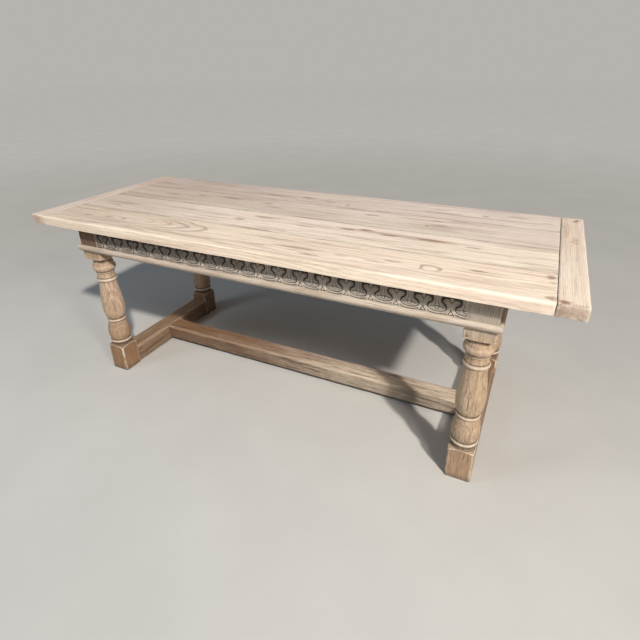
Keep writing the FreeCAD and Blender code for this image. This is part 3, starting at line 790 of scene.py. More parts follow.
class TABLE_OT_top_boards(bpy.types.Operator):
    """Make the four boards of the top, worn along their edges"""

    bl_idname = "table.top_boards"
    bl_label = "Top boards"

    def execute(self, context):
        size = sizes()
        end = CLEAT_INNER - size.cleat_gap
        middle = (TOP_LOW + TOP_HIGH) / 2
        reach = HALF_WIDTH - TONGUE_STOP
        for index, (name, look) in enumerate(BOARDS.items()):
            front, back = index == 0, index == len(BOARDS) - 1
            low = -HALF_WIDTH + index * BOARD_WIDTH
            high = low + BOARD_WIDTH - (0.0 if back else size.seam_gap / 2)
            low += 0.0 if front else size.seam_gap / 2
            under_near, near = (size.lower_arris, size.arris) if front else (SEAM_ARRIS, SEAM_ARRIS)
            under_far, far = (size.lower_arris, size.arris) if back else (SEAM_ARRIS, SEAM_ARRIS)
            rings = []
            for x in stations(-end, end, SPACING, BOARD_END_EASE):
                draw = ease(end - abs(x), BOARD_END_EASE)
                outline = section(low + draw, high - draw, TOP_LOW + draw, TOP_HIGH - draw,
                                  (under_near, under_far, far, near), (10, 5, 26, 5))
                rings.append([(x, y, z) for y, z in outline])
            mesh = loft("oak_" + name, rings)
            weather(mesh, size.ripple, size.edge_wear, (5.0, 26.0, 26.0), index + 1.0)
            x, y, _ = at(mesh).T
            from_seam = np.minimum(np.where(front, 1.0, y - low), np.where(back, 1.0, high - y))
            grime = 0.55 * groove(from_seam, 0.0013)
            grime += np.where(x > 0, 0.6, 0.3) * groove(end - np.abs(x), 0.0014)
            mark(mesh, "grime", np.clip(grime, 0.0, 0.7))
            # Painted light: the top's front and back edge faces are paled through the wear attribute, as
            # though more brightly lit
            edge_face_light = 0.22 * soft(np.abs(y), HALF_WIDTH - 0.006, HALF_WIDTH - 0.002)
            rubbed = np.clip(bend_of(mesh) / WORN_BEND, 0.0, 1.0) * (from_seam > JOINT_STRIP)
            mark(mesh, "wear", np.maximum(edge_face_light, rubbed))
            for side in (-1, 1):
                root = (side * (end - TONGUE_ROOT), max(low, -reach), middle - TONGUE_HALF)
                tip = (side * (CLEAT_INNER + TONGUE_TIP), min(high, reach), middle + TONGUE_HALF)
                add_shell(mesh, np.minimum(root, tip), np.maximum(root, tip))
            piece = place_object("oak_" + name, mesh)
            # Painted shade: the boards darken toward the left end, the back two from further right, as the
            # lamp's light falls off
            left_shade = between(tint(name), tint("board_left_shade"), 0.60)
            painted_falloff = (0.45, -0.75, left_shade, 0.85) if index > 1 else (-0.15, -0.90, left_shade, 0.80)
            material = oak("limed_" + name, tint(name), GRAIN_X, streaks=38.0, streak_share=0.52,
                           open_share=0.14, stains=STAINS[name], arches=ARCHES.get(name), toward=painted_falloff,
                           **look)
            stand_for(name, piece, material)
        return {"FINISHED"}


def chip(mesh, corner, reach, push):
    """Breaks a corner away inside a reach of it."""
    for vertex in mesh.vertices:
        away = (vertex.co - corner).length / reach
        if away < 1.0:
            vertex.co += push * (1.0 - away) ** 1.5 * (0.8 + 0.4 * noise.noise(vertex.co * 160.0))
    mesh.update()


class TABLE_OT_cleats(bpy.types.Operator):
    """Make the cleats across the ends of the top"""

    bl_idname = "table.cleats"
    bl_label = "Cleats"

    def execute(self, context):
        size = sizes()
        radii = (SEAM_ARRIS, size.lower_arris, size.arris, SEAM_ARRIS)
        for name, side, seed in (("cleat_left", -1, 11.0), ("cleat_right", 1, 12.0)):
            right = side > 0
            front = -HALF_WIDTH if right else CLEAT_SHORT - HALF_WIDTH
            rings = []
            for y in stations(front, HALF_WIDTH, SPACING, size.corner):
                off = min(HALF_WIDTH - y, y - front)
                inner, outer = ease(off, CLEAT_END_EASE), ease(off, size.corner)
                under, rim = ease(off, size.lower_arris), ease(off, size.arris)
                outline = section(CLEAT_INNER + inner, HALF_LENGTH - outer, TOP_LOW + under, TOP_HIGH - rim,
                                  radii, (9, 5, 14, 5))
                rings.append([(side * x, y, z) for x, z in outline])
            mesh = loft("oak_" + name, rings)
            weather(mesh, size.ripple, size.edge_wear * 1.2, (26.0, 6.0, 26.0), seed)
            if right:
                corner = Vector((CLEAT_INNER, -HALF_WIDTH, TOP_HIGH))
                chip(mesh, corner, CHIP_REACH, Vector(CHIP_PUSH))
            x, y, _ = at(mesh).T
            off = side * x - CLEAT_INNER
            end_grain = 0.27 * soft(-y, HALF_WIDTH - 0.006, HALF_WIDTH - 0.003) * right
            mark(mesh, "grime", np.maximum((0.75 if right else 0.35) * groove(off, 0.0015), end_grain))
            mark(mesh, "wear", np.clip(bend_of(mesh) / WORN_BEND, 0.0, 1.0) * (off > JOINT_STRIP))
            piece = place_object("oak_" + name, mesh)
            # Painted shade: the left cleat is darkened toward the lamp's falloff
            body = between(tint("cleat"), tint("cleat_left_shade"), 0.0 if right else 0.38)
            material = oak("limed_" + name, body, GRAIN_Y, (seed, 0.0, -0.72), ring=0.0062,
                           pith=(0.0, side * 1.02, -0.07), lean=(0.0, 0.02, 0.02), waver=0.022, streaks=55.0,
                           ring_share=0.30, streak_share=0.36, pore_share=0.25, open_share=0.10,
                           thin_share=0.22, stains=STAINS[name])
            stand_for(name, piece, material)
        return {"FINISHED"}


# Turned legs

def smooth_line(points, steps, closed=False):
    """Even curve through points, a few steps to each of them."""
    points = np.asarray(points, float)
    if closed:
        padded = np.vstack([points[-1:], points, points[:2]])
    else:
        padded = np.vstack([2 * points[0] - points[1], points, 2 * points[-1] - points[-2]])
    line = []
    for a, b, c, d in zip(padded, padded[1:], padded[2:], padded[3:]):
        for step in range(steps):
            t = step / steps
            bowed = (2 * a - 5 * b + 4 * c - d) * t * t + (3 * b - a - 3 * c + d) * t ** 3
            line.append(0.5 * (2 * b + (c - a) * t + bowed))
    if not closed:
        line.append(points[-1])
    return np.array(line)


def arc_line(points, steps):
    """Arc through three points, the middle one being its crown."""
    start, crown, end = np.asarray(points, float)
    shares = np.linspace(-1.0, 1.0, steps)[:, None]
    base = (start + end) / 2
    return base + shares * (end - start) / 2 + (1.0 - shares ** 2) ** 0.5 * (crown - base)


def turned_at(share):
    return FOOT_HEIGHT + share * TURNED_LENGTH


def leg_rows():
    """Rows of a turned leg from its foot up: turned radius, how far the square is drawn in, and height."""
    wide = 1.5 * BLOCK / 2
    rows = [(0.0, 0.0, 0.0), (wide, 0.0016, 0.0), (wide, 0.0005, 0.0005), (wide, 0.0, 0.0018)]
    rows += [(wide, 0.0, 0.012 + 0.012 * i) for i in range(8)]
    for kind, shares in TURNING:
        line = [(radius * BLOCK / 2, turned_at(share)) for radius, share in shares]
        if kind == "curve":
            line = smooth_line(line, 7 if len(line) > 5 else 5)
        elif kind == "bead":
            line = arc_line(line, 11)
        rows += [(radius, 0.0, height) for radius, height in line]
    start = rows[-1][2]
    rows += [(wide, 0.0, start + (TOP_LOW - start) * i / 14) for i in range(1, 15)]
    return [*rows, (0.0, 0.0, TOP_LOW)]


def leg_tree():
    """Geometry tree that turns a column of rows into a leg, square where it is wider than the blank."""
    tree, n, given, end = piece_tree("Turned leg", {
        "Middle": (0.0, 0.0, 0.0), "Columns": 128, "Foot half": 0.046, "Foot chamfer": 0.005,
        "Block half": 0.05, "Block chamfer": 0.0025, "Foot top": 0.137, "Wear": 0.0007, "Seed": 0.0,
    })
    source, columns, seed = given["Geometry"], given["Columns"], given["Seed"]
    count = n.out("GeometryNodeAttributeDomainSize", {"Geometry": source}, "Point Count", component="MESH")
    grid = n.out("GeometryNodeMeshGrid", {"Vertices X": columns + 1.0, "Vertices Y": count}, "Mesh")
    index = n.out("GeometryNodeInputIndex")
    column = n.do("FLOOR", index / count)
    row = index - column * count + 0.2
    here = n.out("GeometryNodeInputPosition")
    spot = n.out("GeometryNodeSampleIndex", {"Geometry": source, "Value": here, "Index": row},
                 data_type="FLOAT_VECTOR", domain="POINT")
    turned, drawn, height = n.split(spot)
    turn = column / columns * (2 * math.pi)
    turn = turn + n.do("SINE", turn * 4.0) * 0.12
    across, away = n.do("COSINE", turn), n.do("SINE", turn)
    wide, deep = n.do("ABSOLUTE", across), n.do("ABSOLUTE", away)
    low = n.do("LESS_THAN", height, given["Foot top"])
    half = low * (given["Foot half"] - given["Block half"]) + given["Block half"] - drawn
    cut = low * (given["Foot chamfer"] - given["Block chamfer"]) + given["Block chamfer"]
    square = n.do("MINIMUM", half / n.do("MAXIMUM", wide, deep), (half * 2.0 - cut) / (wide + deep))
    spot = n.join(across * 0.05, away * 0.05, height * 0.35) + n.join(seed, seed, 0.0)
    bruise = n.ramp(n.noise(spot * (1.0, 1.0, 2.4), 40.0), 0.48, 0.75)
    edge = n.do("POWER", wide * deep * 2.0, 10.0) * n.do("GREATER_THAN", turned, square)
    loss = edge * bruise * 5.0 + n.noise(spot, 26.0, 3.0)
    radius = n.do("MAXIMUM", n.do("MINIMUM", turned, square) - loss * given["Wear"], 0.0)
    made = n.join(across * radius, away * radius, height) + given["Middle"]
    shape = n.out("GeometryNodeSetPosition", {"Geometry": grid, "Position": made})
    shape = n.out("GeometryNodeMergeByDistance", {"Geometry": shape, "Distance": 0.00001})
    close_tree(n, given, end, n.out("GeometryNodeSetShadeSmooth", {0: shape}))
    return tree


class TABLE_OT_turned_legs(bpy.types.Operator):
    """Make the four turned legs"""

    bl_idname = "table.turned_legs"
    bl_label = "Turned legs"

    def execute(self, context):
        size = sizes()
        tree = leg_tree()
        foot_top = turned_at(FOOT_TOP)
        for number, (corner, side_x, side_y) in enumerate(CORNERS):
            name = "leg_" + corner
            paler = corner == "front_right"
            piece = place_object("turned_" + name, new_mesh(name, leg_rows()))
            middle = (side_x * LEG_X, side_y * LEG_Y, 0.0)
            pith = (0.0, middle[1] + 0.012, -middle[0] + 0.02)
            material = oak("limed_" + name, tint("leg"), GRAIN_Z, (number * 2.3, 0.0, 0.0), ring=0.0048,
                           pith=pith, lean=(0.0, 0.012, 0.016), waver=0.010, streaks=130.0,
                           ring_share=0.25, streak_share=0.60, pore_share=0.60, open_share=0.90,
                           lime_share=0.52, thin_share=0.50, dark=tint("leg_grain"), worn=0.80, rough=0.66,
                           foot=between(tint("foot"), tint("leg"), 0.65 if paler else 0.0),
                           shaded_head=tint("block_shaded" if corner == "front_left" else "block"))
            mesh = run_tree(piece, tree, {
                "Middle": middle, "Columns": size.leg_columns, "Wear": size.leg_wear, "Foot half": FOOT / 2,
                "Foot top": foot_top, "Seed": 1.0 + number * 0.37, "Finish": material,
            })
            outward(mesh)
            bend = spread(mesh, bend_of(mesh))
            place = at(mesh)
            height = place[:, 2]
            # Darkening in the hollows, partly old finish and partly painted shade, and darker toward the
            # foot's base
            grime = np.maximum(np.clip(-bend / 130.0, 0.0, 0.85), 0.7 * groove(height, 0.014))
            # Painted shadow lines in the quirks at the foot's top, at the waist under the torus and under the
            # block
            for share in QUIRKS:
                grime = np.maximum(grime, 0.75 * groove(height - turned_at(share), LEG_GROOVE))
            rubbed = np.where(height > TOP_LOW - BLOCK_LENGTH, 0.45, 0.8)
            wear = np.clip((bend - 25.0) / 130.0, 0.0, 1.0) * rubbed
            off_square = np.abs(place[:, :2] - middle[:2]).sum(1)
            arris = soft(off_square, FOOT - 0.0072, FOOT - 0.0052) * (height > 0.004) * (height < foot_top)
            wear = np.maximum(wear, arris * (0.45 if paler else 1.0))
            for shares in (shares for kind, shares in TURNING if kind == "bead"):
                low, _, high = (turned_at(share) for _, share in shares)
                inside_bead = (high - low) / 2 - np.abs(height - (low + high) / 2)
                wear = np.maximum(wear, 0.75 * soft(inside_bead, 0.0008, 0.003))
                # Painted shadow lines in the quirks beside each bead
                for quirk in (low - BEAD_QUIRK, high + BEAD_QUIRK):
                    grime = np.maximum(grime, 0.85 * groove(height - quirk, LEG_GROOVE))
            low, high = (turned_at(share) for share in FILLET)
            mark(mesh, "wear", np.maximum(wear, 0.6 * (height > low) * (height < high)))
            mark(mesh, "grime", np.clip(grime, 0.0, 0.9))
            stand_for(name, piece, material, 50.0)
        return {"FINISHED"}


# Carved rails

def inside(u, v, outline):
    """Distance into a closed outline, below zero outside it."""
    nearest = np.full(u.shape, 1e9)
    within = np.zeros(u.shape, bool)
    for (x0, y0), (x1, y1) in zip(outline, np.roll(outline, -1, axis=0)):
        span = (x1 - x0) ** 2 + (y1 - y0) ** 2
        t = np.clip(((u - x0) * (x1 - x0) + (v - y0) * (y1 - y0)) / max(span, 1e-12), 0.0, 1.0)
        nearest = np.minimum(nearest, np.hypot(u - x0 - t * (x1 - x0), v - y0 - t * (y1 - y0)))
        if y0 != y1:
            within ^= ((y0 > v) != (y1 > v)) & (u < (x1 - x0) * (v - y0) / (y1 - y0) + x0)
    return np.where(within, nearest, -nearest)


def mirrored(half, pitch, rise):
    """Whole outline from its right half."""
    right = [(x * pitch, z * rise) for x, z in half]
    return right + [(-x, z) for x, z in right[-2:0:-1]]


def carving(u, v, pitch, rise, depth):
    """Relief of a carved unit, and its dark lines and dark edges, old finish and painted shade in the cuts: u
    from its middle, v up, all in millimetres.
    """
    field = inside(u, v, smooth_line(mirrored(FIELD, pitch, rise), 3, closed=True))
    spandrel = inside(u, v, np.array(mirrored(SPANDREL, pitch, rise)))
    out = np.abs(u)
    off = pitch / 2 - out
    rim = 0.2558 * rise

    def oval(wide, tall):
        ratio = np.hypot(off / wide, (v - rim) / tall)
        slope = np.hypot(off / wide ** 2, (v - rim) / tall ** 2) / np.maximum(ratio, 1e-6)
        return (ratio - 1.0) / np.maximum(slope, 1e-6)

    # Bowl: a round outer band, a groove, and a lesser arc in a shallow dish
    low_side = soft(rim + 4.0 - v, 0.0, 5.0)
    banded = low_side * (off < 29.0)
    outer, inner, least = oval(37.5, 19.6), oval(28.5, 13.0), oval(19.5, 8.0)
    crown = np.clip(1.0 - (2.0 * np.clip(inner / 7.0, 0.0, 1.0) - 1.0) ** 2, 0.0, 1.0)
    relief = -np.where((inner > 0) & (outer < 0), 1.6 * (1.0 - crown), 0.0) * low_side
    relief -= 3.4 * groove(inner, 1.6) * low_side
    relief -= np.where(outer > 0, 2.4 * soft(outer, 0.0, 1.5), 0.0) * banded
    relief -= np.where(inner < 0, 0.9 * soft(-inner, 0.0, 4.0), 0.0) * low_side
    relief -= 1.6 * groove(least, 1.1) * low_side
    lines = groove(inner - 0.2, 2.6) * low_side
    lines = np.maximum(lines, 0.95 * groove(outer - 1.2, 2.3) * banded)
    lines = np.maximum(lines, 0.8 * groove(least, 1.7) * low_side)

    # Bell over the bowl: a sunk line under its lip, and reeds that flare with it
    flare = np.interp(v, (19.0, 26.8, 31.2, 34.8, 39.4, 45.6, 52.4, 59.6, 68.0, 76.0, 82.0),
                      (27.0, 24.8, 21.8, 17.0, 12.6, 10.2, 10.0, 11.6, 13.4, 15.6, 18.0))
    on_bell = soft(v, rim + 3.0, rim + 7.0) * (off < flare + 1.0) * soft(83.0 - v, 0.0, 4.0)
    relief -= 2.3 * groove(off - 0.36 * flare, 0.12 * flare) * on_bell
    relief -= 1.5 * groove(off - 0.74 * flare, 0.10 * flare) * on_bell
    relief -= 1.2 * soft(off, 0.80 * flare, 1.05 * flare) * on_bell
    lines = np.maximum(lines, 0.6 * groove(off - 0.36 * flare, 0.10 * flare) * on_bell)
    lip = v - rim - 3.4 - 1.4 * np.cos(np.pi * np.minimum(off, 22.0) / 22.0)
    relief -= 2.6 * groove(lip, 1.5) * (off < 25.0)
    lines = np.maximum(lines, 0.75 * groove(lip, 1.9) * (off < 25.0))

    # Bead in the bowl, with a sunk ring about it
    bead = np.hypot(off / 1.15, v - 21.5)
    dome = np.sqrt(np.clip(1.0 - (bead / 4.6) ** 2, 0.0, 1.0))
    relief = np.where(bead < 6.2, np.minimum(relief, -3.0), relief)
    relief = np.where(bead < 4.6, 3.0 * dome - 3.0, relief)
    lines = np.where(bead < 6.4, 0.85 * soft(bead, 3.8, 5.0), lines)

    # Two arms that rise at the joint and curl over, lined inside their edges, with a bud between them
    cap = (out < 26.0) & (field < 0) & (v > 14.0) & (v < 62.0) & (off > flare)
    curl = np.hypot(out - 18.4, v - 46.6)
    relief -= 2.0 * cap * np.clip(1.0 + field / 4.5, 0.0, 1.0) ** 2
    relief -= 1.7 * cap * groove(field + 4.6, 1.0) * soft(v, 20.0, 28.0)
    relief -= 1.8 * cap * groove(curl - 3.0, 1.0)
    fork = out - np.interp(v, (40.0, 44.0, 48.0, 54.0), (0.0, 0.6, 3.4, 7.0))
    forked = soft(v, 39.0, 44.0) * soft(57.0 - v, 0.0, 3.0)
    relief -= 3.2 * groove(fork, 1.3) * forked
    lines = np.maximum(lines, 0.9 * groove(fork, 1.7) * forked)

    # Sunk field, and a leaf left standing in the sunk spandrel
    floor = -1.2 - (depth - 1.2) * soft(field, 0.0, 3.4)
    relief = np.where(field > 0, np.minimum(relief, floor), relief)
    leaf = soft(spandrel, 1.8, 4.0)
    sunk = -4.2 * soft(spandrel, 0.0, 1.3) + 3.0 * leaf - 1.2 * leaf * groove(u, 1.2)
    relief = np.where(spandrel > 0, sunk, relief) - 1.6 * groove(v - 84.0, 1.1)
    lines = np.where(spandrel > -0.4, 0.9 * soft(spandrel, -0.4, 0.8) * (1.0 - leaf), lines)
    return np.clip(relief, -depth, 0.0), np.where(field > 0, 0.0, lines), soft(field, -3.0, -0.6)


def rail_unit(name, side, pitch):
    """Mesh tube of one carved unit of a rail, open at both ends."""
    rise = TOP_LOW - MOULDING_HIGH
    columns, shown, over, seen = 68, 62, 9, 0.72 * rise
    u = np.linspace(-pitch / 2, pitch / 2, columns + 1)
    v = np.concatenate([np.linspace(0.0, seen, shown + 1), np.linspace(seen, rise, over + 1)[1:]])
    spots = np.meshgrid(u * 1000, v * 1000, indexing="ij")
    relief, lines, edges = carving(*spots, pitch * 1000, rise * 1000, sizes().carving_depth * 1000)
    relief[0] = relief[-1] = (relief[0] + relief[-1]) / 2
    relief /= 1000
    back = FACE_Y - RAIL_THICKNESS
    hidden = [(back, TOP_LOW), (back, (TOP_LOW + RAIL_LOW) / 2), (back, RAIL_LOW)]
    points = []
    for x, cut in zip(u, relief):
        ring = [(FACE_Y, RAIL_LOW), *zip(FACE_Y + cut, MOULDING_HIGH + v), *hidden]
        points += [(x, side * y, z) for y, z in ring]
    mesh = new_mesh(name, points, ring_faces(len(u), len(ring)))
    fade = soft(np.minimum(v, rise - v), 0.0, 0.006)
    for label, values in (("sunk", -relief), ("cut", fade), ("lined", lines), ("edged", edges)):
        whole = np.zeros((len(u), len(ring)))
        whole[:, 1:-len(hidden)] = values
        mark(mesh, label, whole)
    return mesh


def rail_tree():
    """Geometry tree that repeats a carved unit along a rail and lets the cutting stray a little."""
    tree, n, given, end = piece_tree("Carved rail", {
        "Count": 18, "Pitch": 0.085, "First": 0.0, "Drift": 0.001, "Seed": 0.0,
    })
    start, step = n.join(given["First"], 0.0, 0.0), n.join(given["Pitch"], 0.0, 0.0)
    line = n.out("GeometryNodeMeshLine", {"Count": given["Count"], "Start Location": start, "Offset": step},
                 mode="OFFSET")
    shape = n.out("GeometryNodeInstanceOnPoints", {"Points": line, "Instance": given["Geometry"]})
    shape = n.out("GeometryNodeRealizeInstances", {0: shape})
    shape = n.out("GeometryNodeMergeByDistance", {"Geometry": shape, "Distance": 0.0001})
    here = n.out("GeometryNodeInputPosition") + n.join(given["Seed"], given["Seed"], 0.0)
    cut = n.out("GeometryNodeInputNamedAttribute", {"Name": "cut"}, data_type="FLOAT")
    amount = cut * given["Drift"] * 3.0
    move = n.stray(here, 34.0, 1.0, 0.5) * n.join(amount, 0.0, amount)
    shape = n.out("GeometryNodeSetPosition", {"Geometry": shape, "Offset": move})
    close_tree(n, given, end, n.out("GeometryNodeSetShadeSmooth", {0: shape}))
    return tree


def close_ends(mesh, reach):
    """Runs a rail's open ends a little way into the legs and closes them."""
    shape = bmesh.new()
    shape.from_mesh(mesh)
    for side in (-1, 1):
        rim = [edge for edge in shape.edges if edge.is_boundary and side * edge.verts[0].co.x > 0]
        made = bmesh.ops.extrude_edge_only(shape, edges=rim)["geom"]
        for vertex in (one for one in made if isinstance(one, bmesh.types.BMVert)):
            vertex.co.x = side * reach
        edges = [one for one in made if isinstance(one, bmesh.types.BMEdge) and one.is_boundary]
        bmesh.ops.edgeloop_fill(shape, edges=edges)
    shape.to_mesh(mesh)
    shape.free()


class TABLE_OT_carved_rails(bpy.types.Operator):
    """Make the two long rails with their carved frieze"""

    bl_idname = "table.carved_rails"
    bl_label = "Carved rails"

    def execute(self, context):
        size = sizes()
        pitch = 2 * INNER_X / size.carving_count
        tree = rail_tree()
        for name, side, seed in (("frieze_rail_front", -1, 2.0), ("frieze_rail_back", 1, 5.0)):
            piece = place_object("carved_" + name, rail_unit(name, side, pitch))
            # The rails darken toward the left end, painted shade
            material = oak("limed_" + name, tint("frieze"), GRAIN_X, (seed, 0.0, -0.6), ring=0.0055,
                           pith=(0.0, side * 0.36, 0.02), waver=0.014, streaks=80.0, ring_share=0.20,
                           streak_share=0.35, pore_share=0.4, lime_share=0.5, worn=0.95, rough=0.64,
                           toward=(0.10, -0.75, tint("frieze_left_shade"), 0.85))
            mesh = run_tree(piece, tree, {
                "Count": size.carving_count, "Pitch": pitch, "First": pitch / 2 - INNER_X,
                "Drift": size.carving_drift, "Seed": seed, "Finish": material,
            })
            close_ends(mesh, INNER_X + RAIL_TUCK)
            outward(mesh)
            bend = spread(mesh, bend_of(mesh))
            marks = [mesh.attributes[one].data for one in ("sunk", "lined", "edged")]
            sunk, lined, edged = (read(one, "value", 1) for one in marks)
            x, _, z = at(mesh).T
            # Painted light: the carving's lower band, below the top's overhang shadow, is paled through the
            # wear attribute, less so to the left
            left = soft(-x, -0.10, 0.60)
            paler = (1.15 - 0.63 * left) * soft(z - MOULDING_HIGH, 0.025, 0.014)
            paler = np.maximum(np.clip(bend / 260.0, 0.0, 1.0), paler)
            mark(mesh, "wear", paler * (sunk < 0.0035))
            # Darkening in the sunk field, the hollows, the dark lines and along the field's edges: old finish
            # and painted shade, the edges darker to the left as painted shade
            grime = np.maximum(0.95 * soft(sunk, 0.0014, 0.0038), np.clip(-bend / 420.0, 0.0, 0.6))
            grime = np.maximum(grime, np.maximum(0.95 * lined, (0.45 + 0.40 * left) * edged))
            mark(mesh, "grime", np.clip(grime, 0.0, 0.95))
            stand_for(name, piece, material, 60.0)
        return {"FINISHED"}


# Mouldings

class TABLE_OT_mouldings(bpy.types.Operator):
    """Make the four mitred lengths of moulding round the frame"""

    bl_idname = "table.mouldings"
    bl_label = "Mouldings"

    def execute(self, context):
        low, high = MOULDING_LOW, MOULDING_HIGH
        outline = [(0.0, low), (0.004, low), (0.0074, low), (0.008, low + 0.0006), (0.008, low + 0.0026)]
        radius, inset, rise = 0.01307, 0.00107, 0.01242
        for t in np.linspace(-0.8044, 1.0884, 15):
            outline.append((radius * math.cos(t) - inset, low + rise + radius * math.sin(t)))
        outline.append((0.0, high))
        runs = (("front", -1, 0), ("back", 1, 0), ("left", -1, 1), ("right", 1, 1))
        for number, (way, side, turned) in enumerate(runs):
            name = "moulding_" + way
            face, run = (FACE_X, FACE_Y) if turned else (FACE_Y, FACE_X)
            rings = []
            for share in np.linspace(-1.0, 1.0, round(2 * run / SPACING) + 1):
                ring = [(share * (run + depth - MITRE_GAP), side * (face + depth), z) for depth, z in outline]
                rings.append([(y, x, z) if turned else (x, y, z) for x, y, z in ring])
            mesh = loft("worn_" + name, rings)
            weather(mesh, 0.0003, 0.0010, (30.0, 30.0, 40.0), 21.0 + number, 200.0)
            place = at(mesh)
            out = np.abs(place[:, 0 if turned else 1]) - face
            # Painted shadow line in the quirk at the moulding's foot, under its nose
            quirk = groove(place[:, 2] - (low + 0.003), 0.0012)
            mark(mesh, "wear", np.clip(bend_of(mesh) / 380.0, 0.0, 1.0) * (out > 0.007))
            mark(mesh, "grime", 0.85 * quirk * (out < 0.0084))
            piece = place_object("worn_" + name, mesh)
            # Painted light: the front moulding pales toward its right end, nearer the lamp
            pale = (-0.14, 0.75, tint("moulding_pale"), 0.9) if way == "front" else None
            material = oak("limed_" + name, tint("moulding"), GRAIN_Y if turned else GRAIN_X,
                           (31.0 + number, 0.0, 0.0), ring=0.0045, pith=(0.0, 0.30, 0.50), waver=0.010,
                           streaks=130.0, ring_share=0.25, pore_share=0.40, lime_share=0.36, worn=0.7,
                           toward=pale)
            stand_for(name, piece, material, 55.0)
        return {"FINISHED"}


# Stretchers

def chamfered(low, high, left, right):
    """Outline of a stretcher's section: eased below, chamfered above by a width of its own on each side."""
    def one_side(cut):
        half, edge = STRETCHER_HALF, STRETCHER_EASE
        return [(half - edge, low), (half - 0.3 * edge, low + 0.3 * edge), (half, low + edge),
                (half, high - cut), (half - 0.12 * cut, high - 0.80 * cut),
                (half - 0.80 * cut, high - 0.12 * cut), (half - cut, high)]

    other = [(-a, b) for a, b in reversed(one_side(left))]
    return cut_up(other[4:] + one_side(right) + other[:4], (1, 1, 8, 1, 1, 7, 1, 3, 1, 9, 1, 3, 1, 7))


class TABLE_OT_stretchers(bpy.types.Operator):
    """Make the H of three stretchers with their stopped chamfers"""

    bl_idname = "table.stretchers"
    bl_label = "Stretchers"

    def execute(self, context):
        size = sizes()

        def stopped(distance):
            grown = soft(distance, size.chamfer_stop - 0.004, size.chamfer_stop + 0.012)
            return STRETCHER_EASE + (size.chamfer - STRETCHER_EASE) * float(grown)

        rings = []
        end = LEG_X - STRETCHER_HALF
        reach = end + STRETCHER_TUCK
        for x in stations(-reach, reach, STRETCHER_SPACING, STRETCHER_END_EASE):
            cut = stopped(end - abs(x))
            rings.append([(x, y, z) for y, z in chamfered(LONG_LOW, LONG_HIGH, cut, cut)])
        # Painted light: the long stretcher pales toward its right end, nearer the lamp
        pale = (-0.55, 0.32, tint("stretcher_lit_end"), 0.88)
        pith = (0.0, 0.01, -0.02)
        self.dress("long_stretcher", rings, GRAIN_X, 41.0, 41.0, pith, (6.0, 30.0, 30.0), 0.40, pale)
        end = LEG_Y - FOOT / 2
        reach = end + STRETCHER_TUCK
        for name, side in (("end_stretcher_left", -1), ("end_stretcher_right", 1)):
            rings = []
            for y in stations(-reach, reach, STRETCHER_SPACING, STRETCHER_END_EASE):
                outer = stopped(end - abs(y))
                inner = min(outer, stopped(abs(y) - STRETCHER_HALF))
                outline = chamfered(END_LOW, END_HIGH, inner, outer)
                rings.append([(side * (LEG_X + a), y, z) for a, z in outline])
            pith = (0.0, -side * LEG_X, 0.03)
            self.dress(name, rings, GRAIN_Y, 45.0 + side, 44.0 + side, pith, (30.0, 6.0, 30.0), 0.20, None)
        return {"FINISHED"}

    def dress(self, name, rings, turn, shift, seed, pith, stretch, upright_shade, pale):
        size = sizes()
        mesh = loft("worn_" + name, rings)
        weather(mesh, size.ripple * 1.3, size.edge_wear, stretch, seed, 150.0)
        height = at(mesh)[:, 2]
        # Painted shade: upright faces darkened against the lit top face, and darker toward the bottom
        upright = soft(np.abs(read(mesh.vertices, "normal", 3)[:, 2]), 0.5, 0.2)
        mark(mesh, "wear", np.clip(bend_of(mesh) / 240.0, 0.0, 0.8))
        mark(mesh, "grime", np.maximum(0.55 * groove(height - height.min(), 0.012), upright_shade * upright))
        piece = place_object("worn_" + name, mesh)
        material = oak("limed_" + name, tint("stretcher"), turn, (shift, 0.0, 0.0), ring=0.0052, pith=pith,
                       lean=(0.0, 0.01, 0.02), waver=0.016, streaks=80.0, streak_share=0.75, pore_share=0.55,
                       open_share=0.7, lime_share=0.14, thin_share=0.75, dark=tint("stretcher_grain"),
                       toward=pale, rough=0.66)
        stand_for(name, piece, material, 35.0)


# Pegs

def peg_tree():
    """Geometry tree that drives a hand-cut peg in at each point, its domed end outward."""
    inputs = {"Radius": 0.004, "Length": 0.045, "Proud": 0.0005, "Seed": 1}
    tree, n, given, end = piece_tree("Driven pegs", inputs)
    radius, depth = given["Radius"], given["Length"]
    sides = {"Vertices": 10, "Side Segments": 2, "Fill Segments": 3}
    peg = n.out("GeometryNodeMeshCylinder", {**sides, "Radius": radius, "Depth": depth}, "Mesh")
    x, y, z = n.split(n.out("GeometryNodeInputPosition"))
    from_axis = n.do("LENGTH", n.join(x, y, 0.0)) / radius
    dome = n.do("SUBTRACT", 1.0, from_axis * from_axis) * n.do("GREATER_THAN", z, depth * 0.45)
    lift = n.join(0.0, 0.0, dome * given["Proud"] - depth * 0.5)
    peg = n.out("GeometryNodeSetPosition", {"Geometry": peg, "Offset": lift})
    facing = n.out("GeometryNodeInputNamedAttribute", {"Name": "facing"}, data_type="FLOAT_VECTOR")
    turn = n.out("FunctionNodeAlignRotationToVector", {"Vector": facing}, axis="Z")
    spin = n.out("FunctionNodeRandomValue", {2: 0.0, 3: 6.283, 8: given["Seed"]}, 1, data_type="FLOAT")
    spin = n.out("FunctionNodeAxisAngleToRotation", {"Axis": (0.0, 0.0, 1.0), "Angle": spin})
    turn = n.out("FunctionNodeRotateRotation", {"Rotation": turn, "Rotate By": spin}, rotation_space="LOCAL")
    inputs = {"Points": given["Geometry"], "Instance": peg, "Rotation": turn}
    close_tree(n, given, end, n.out("GeometryNodeInstanceOnPoints", inputs))
    return tree


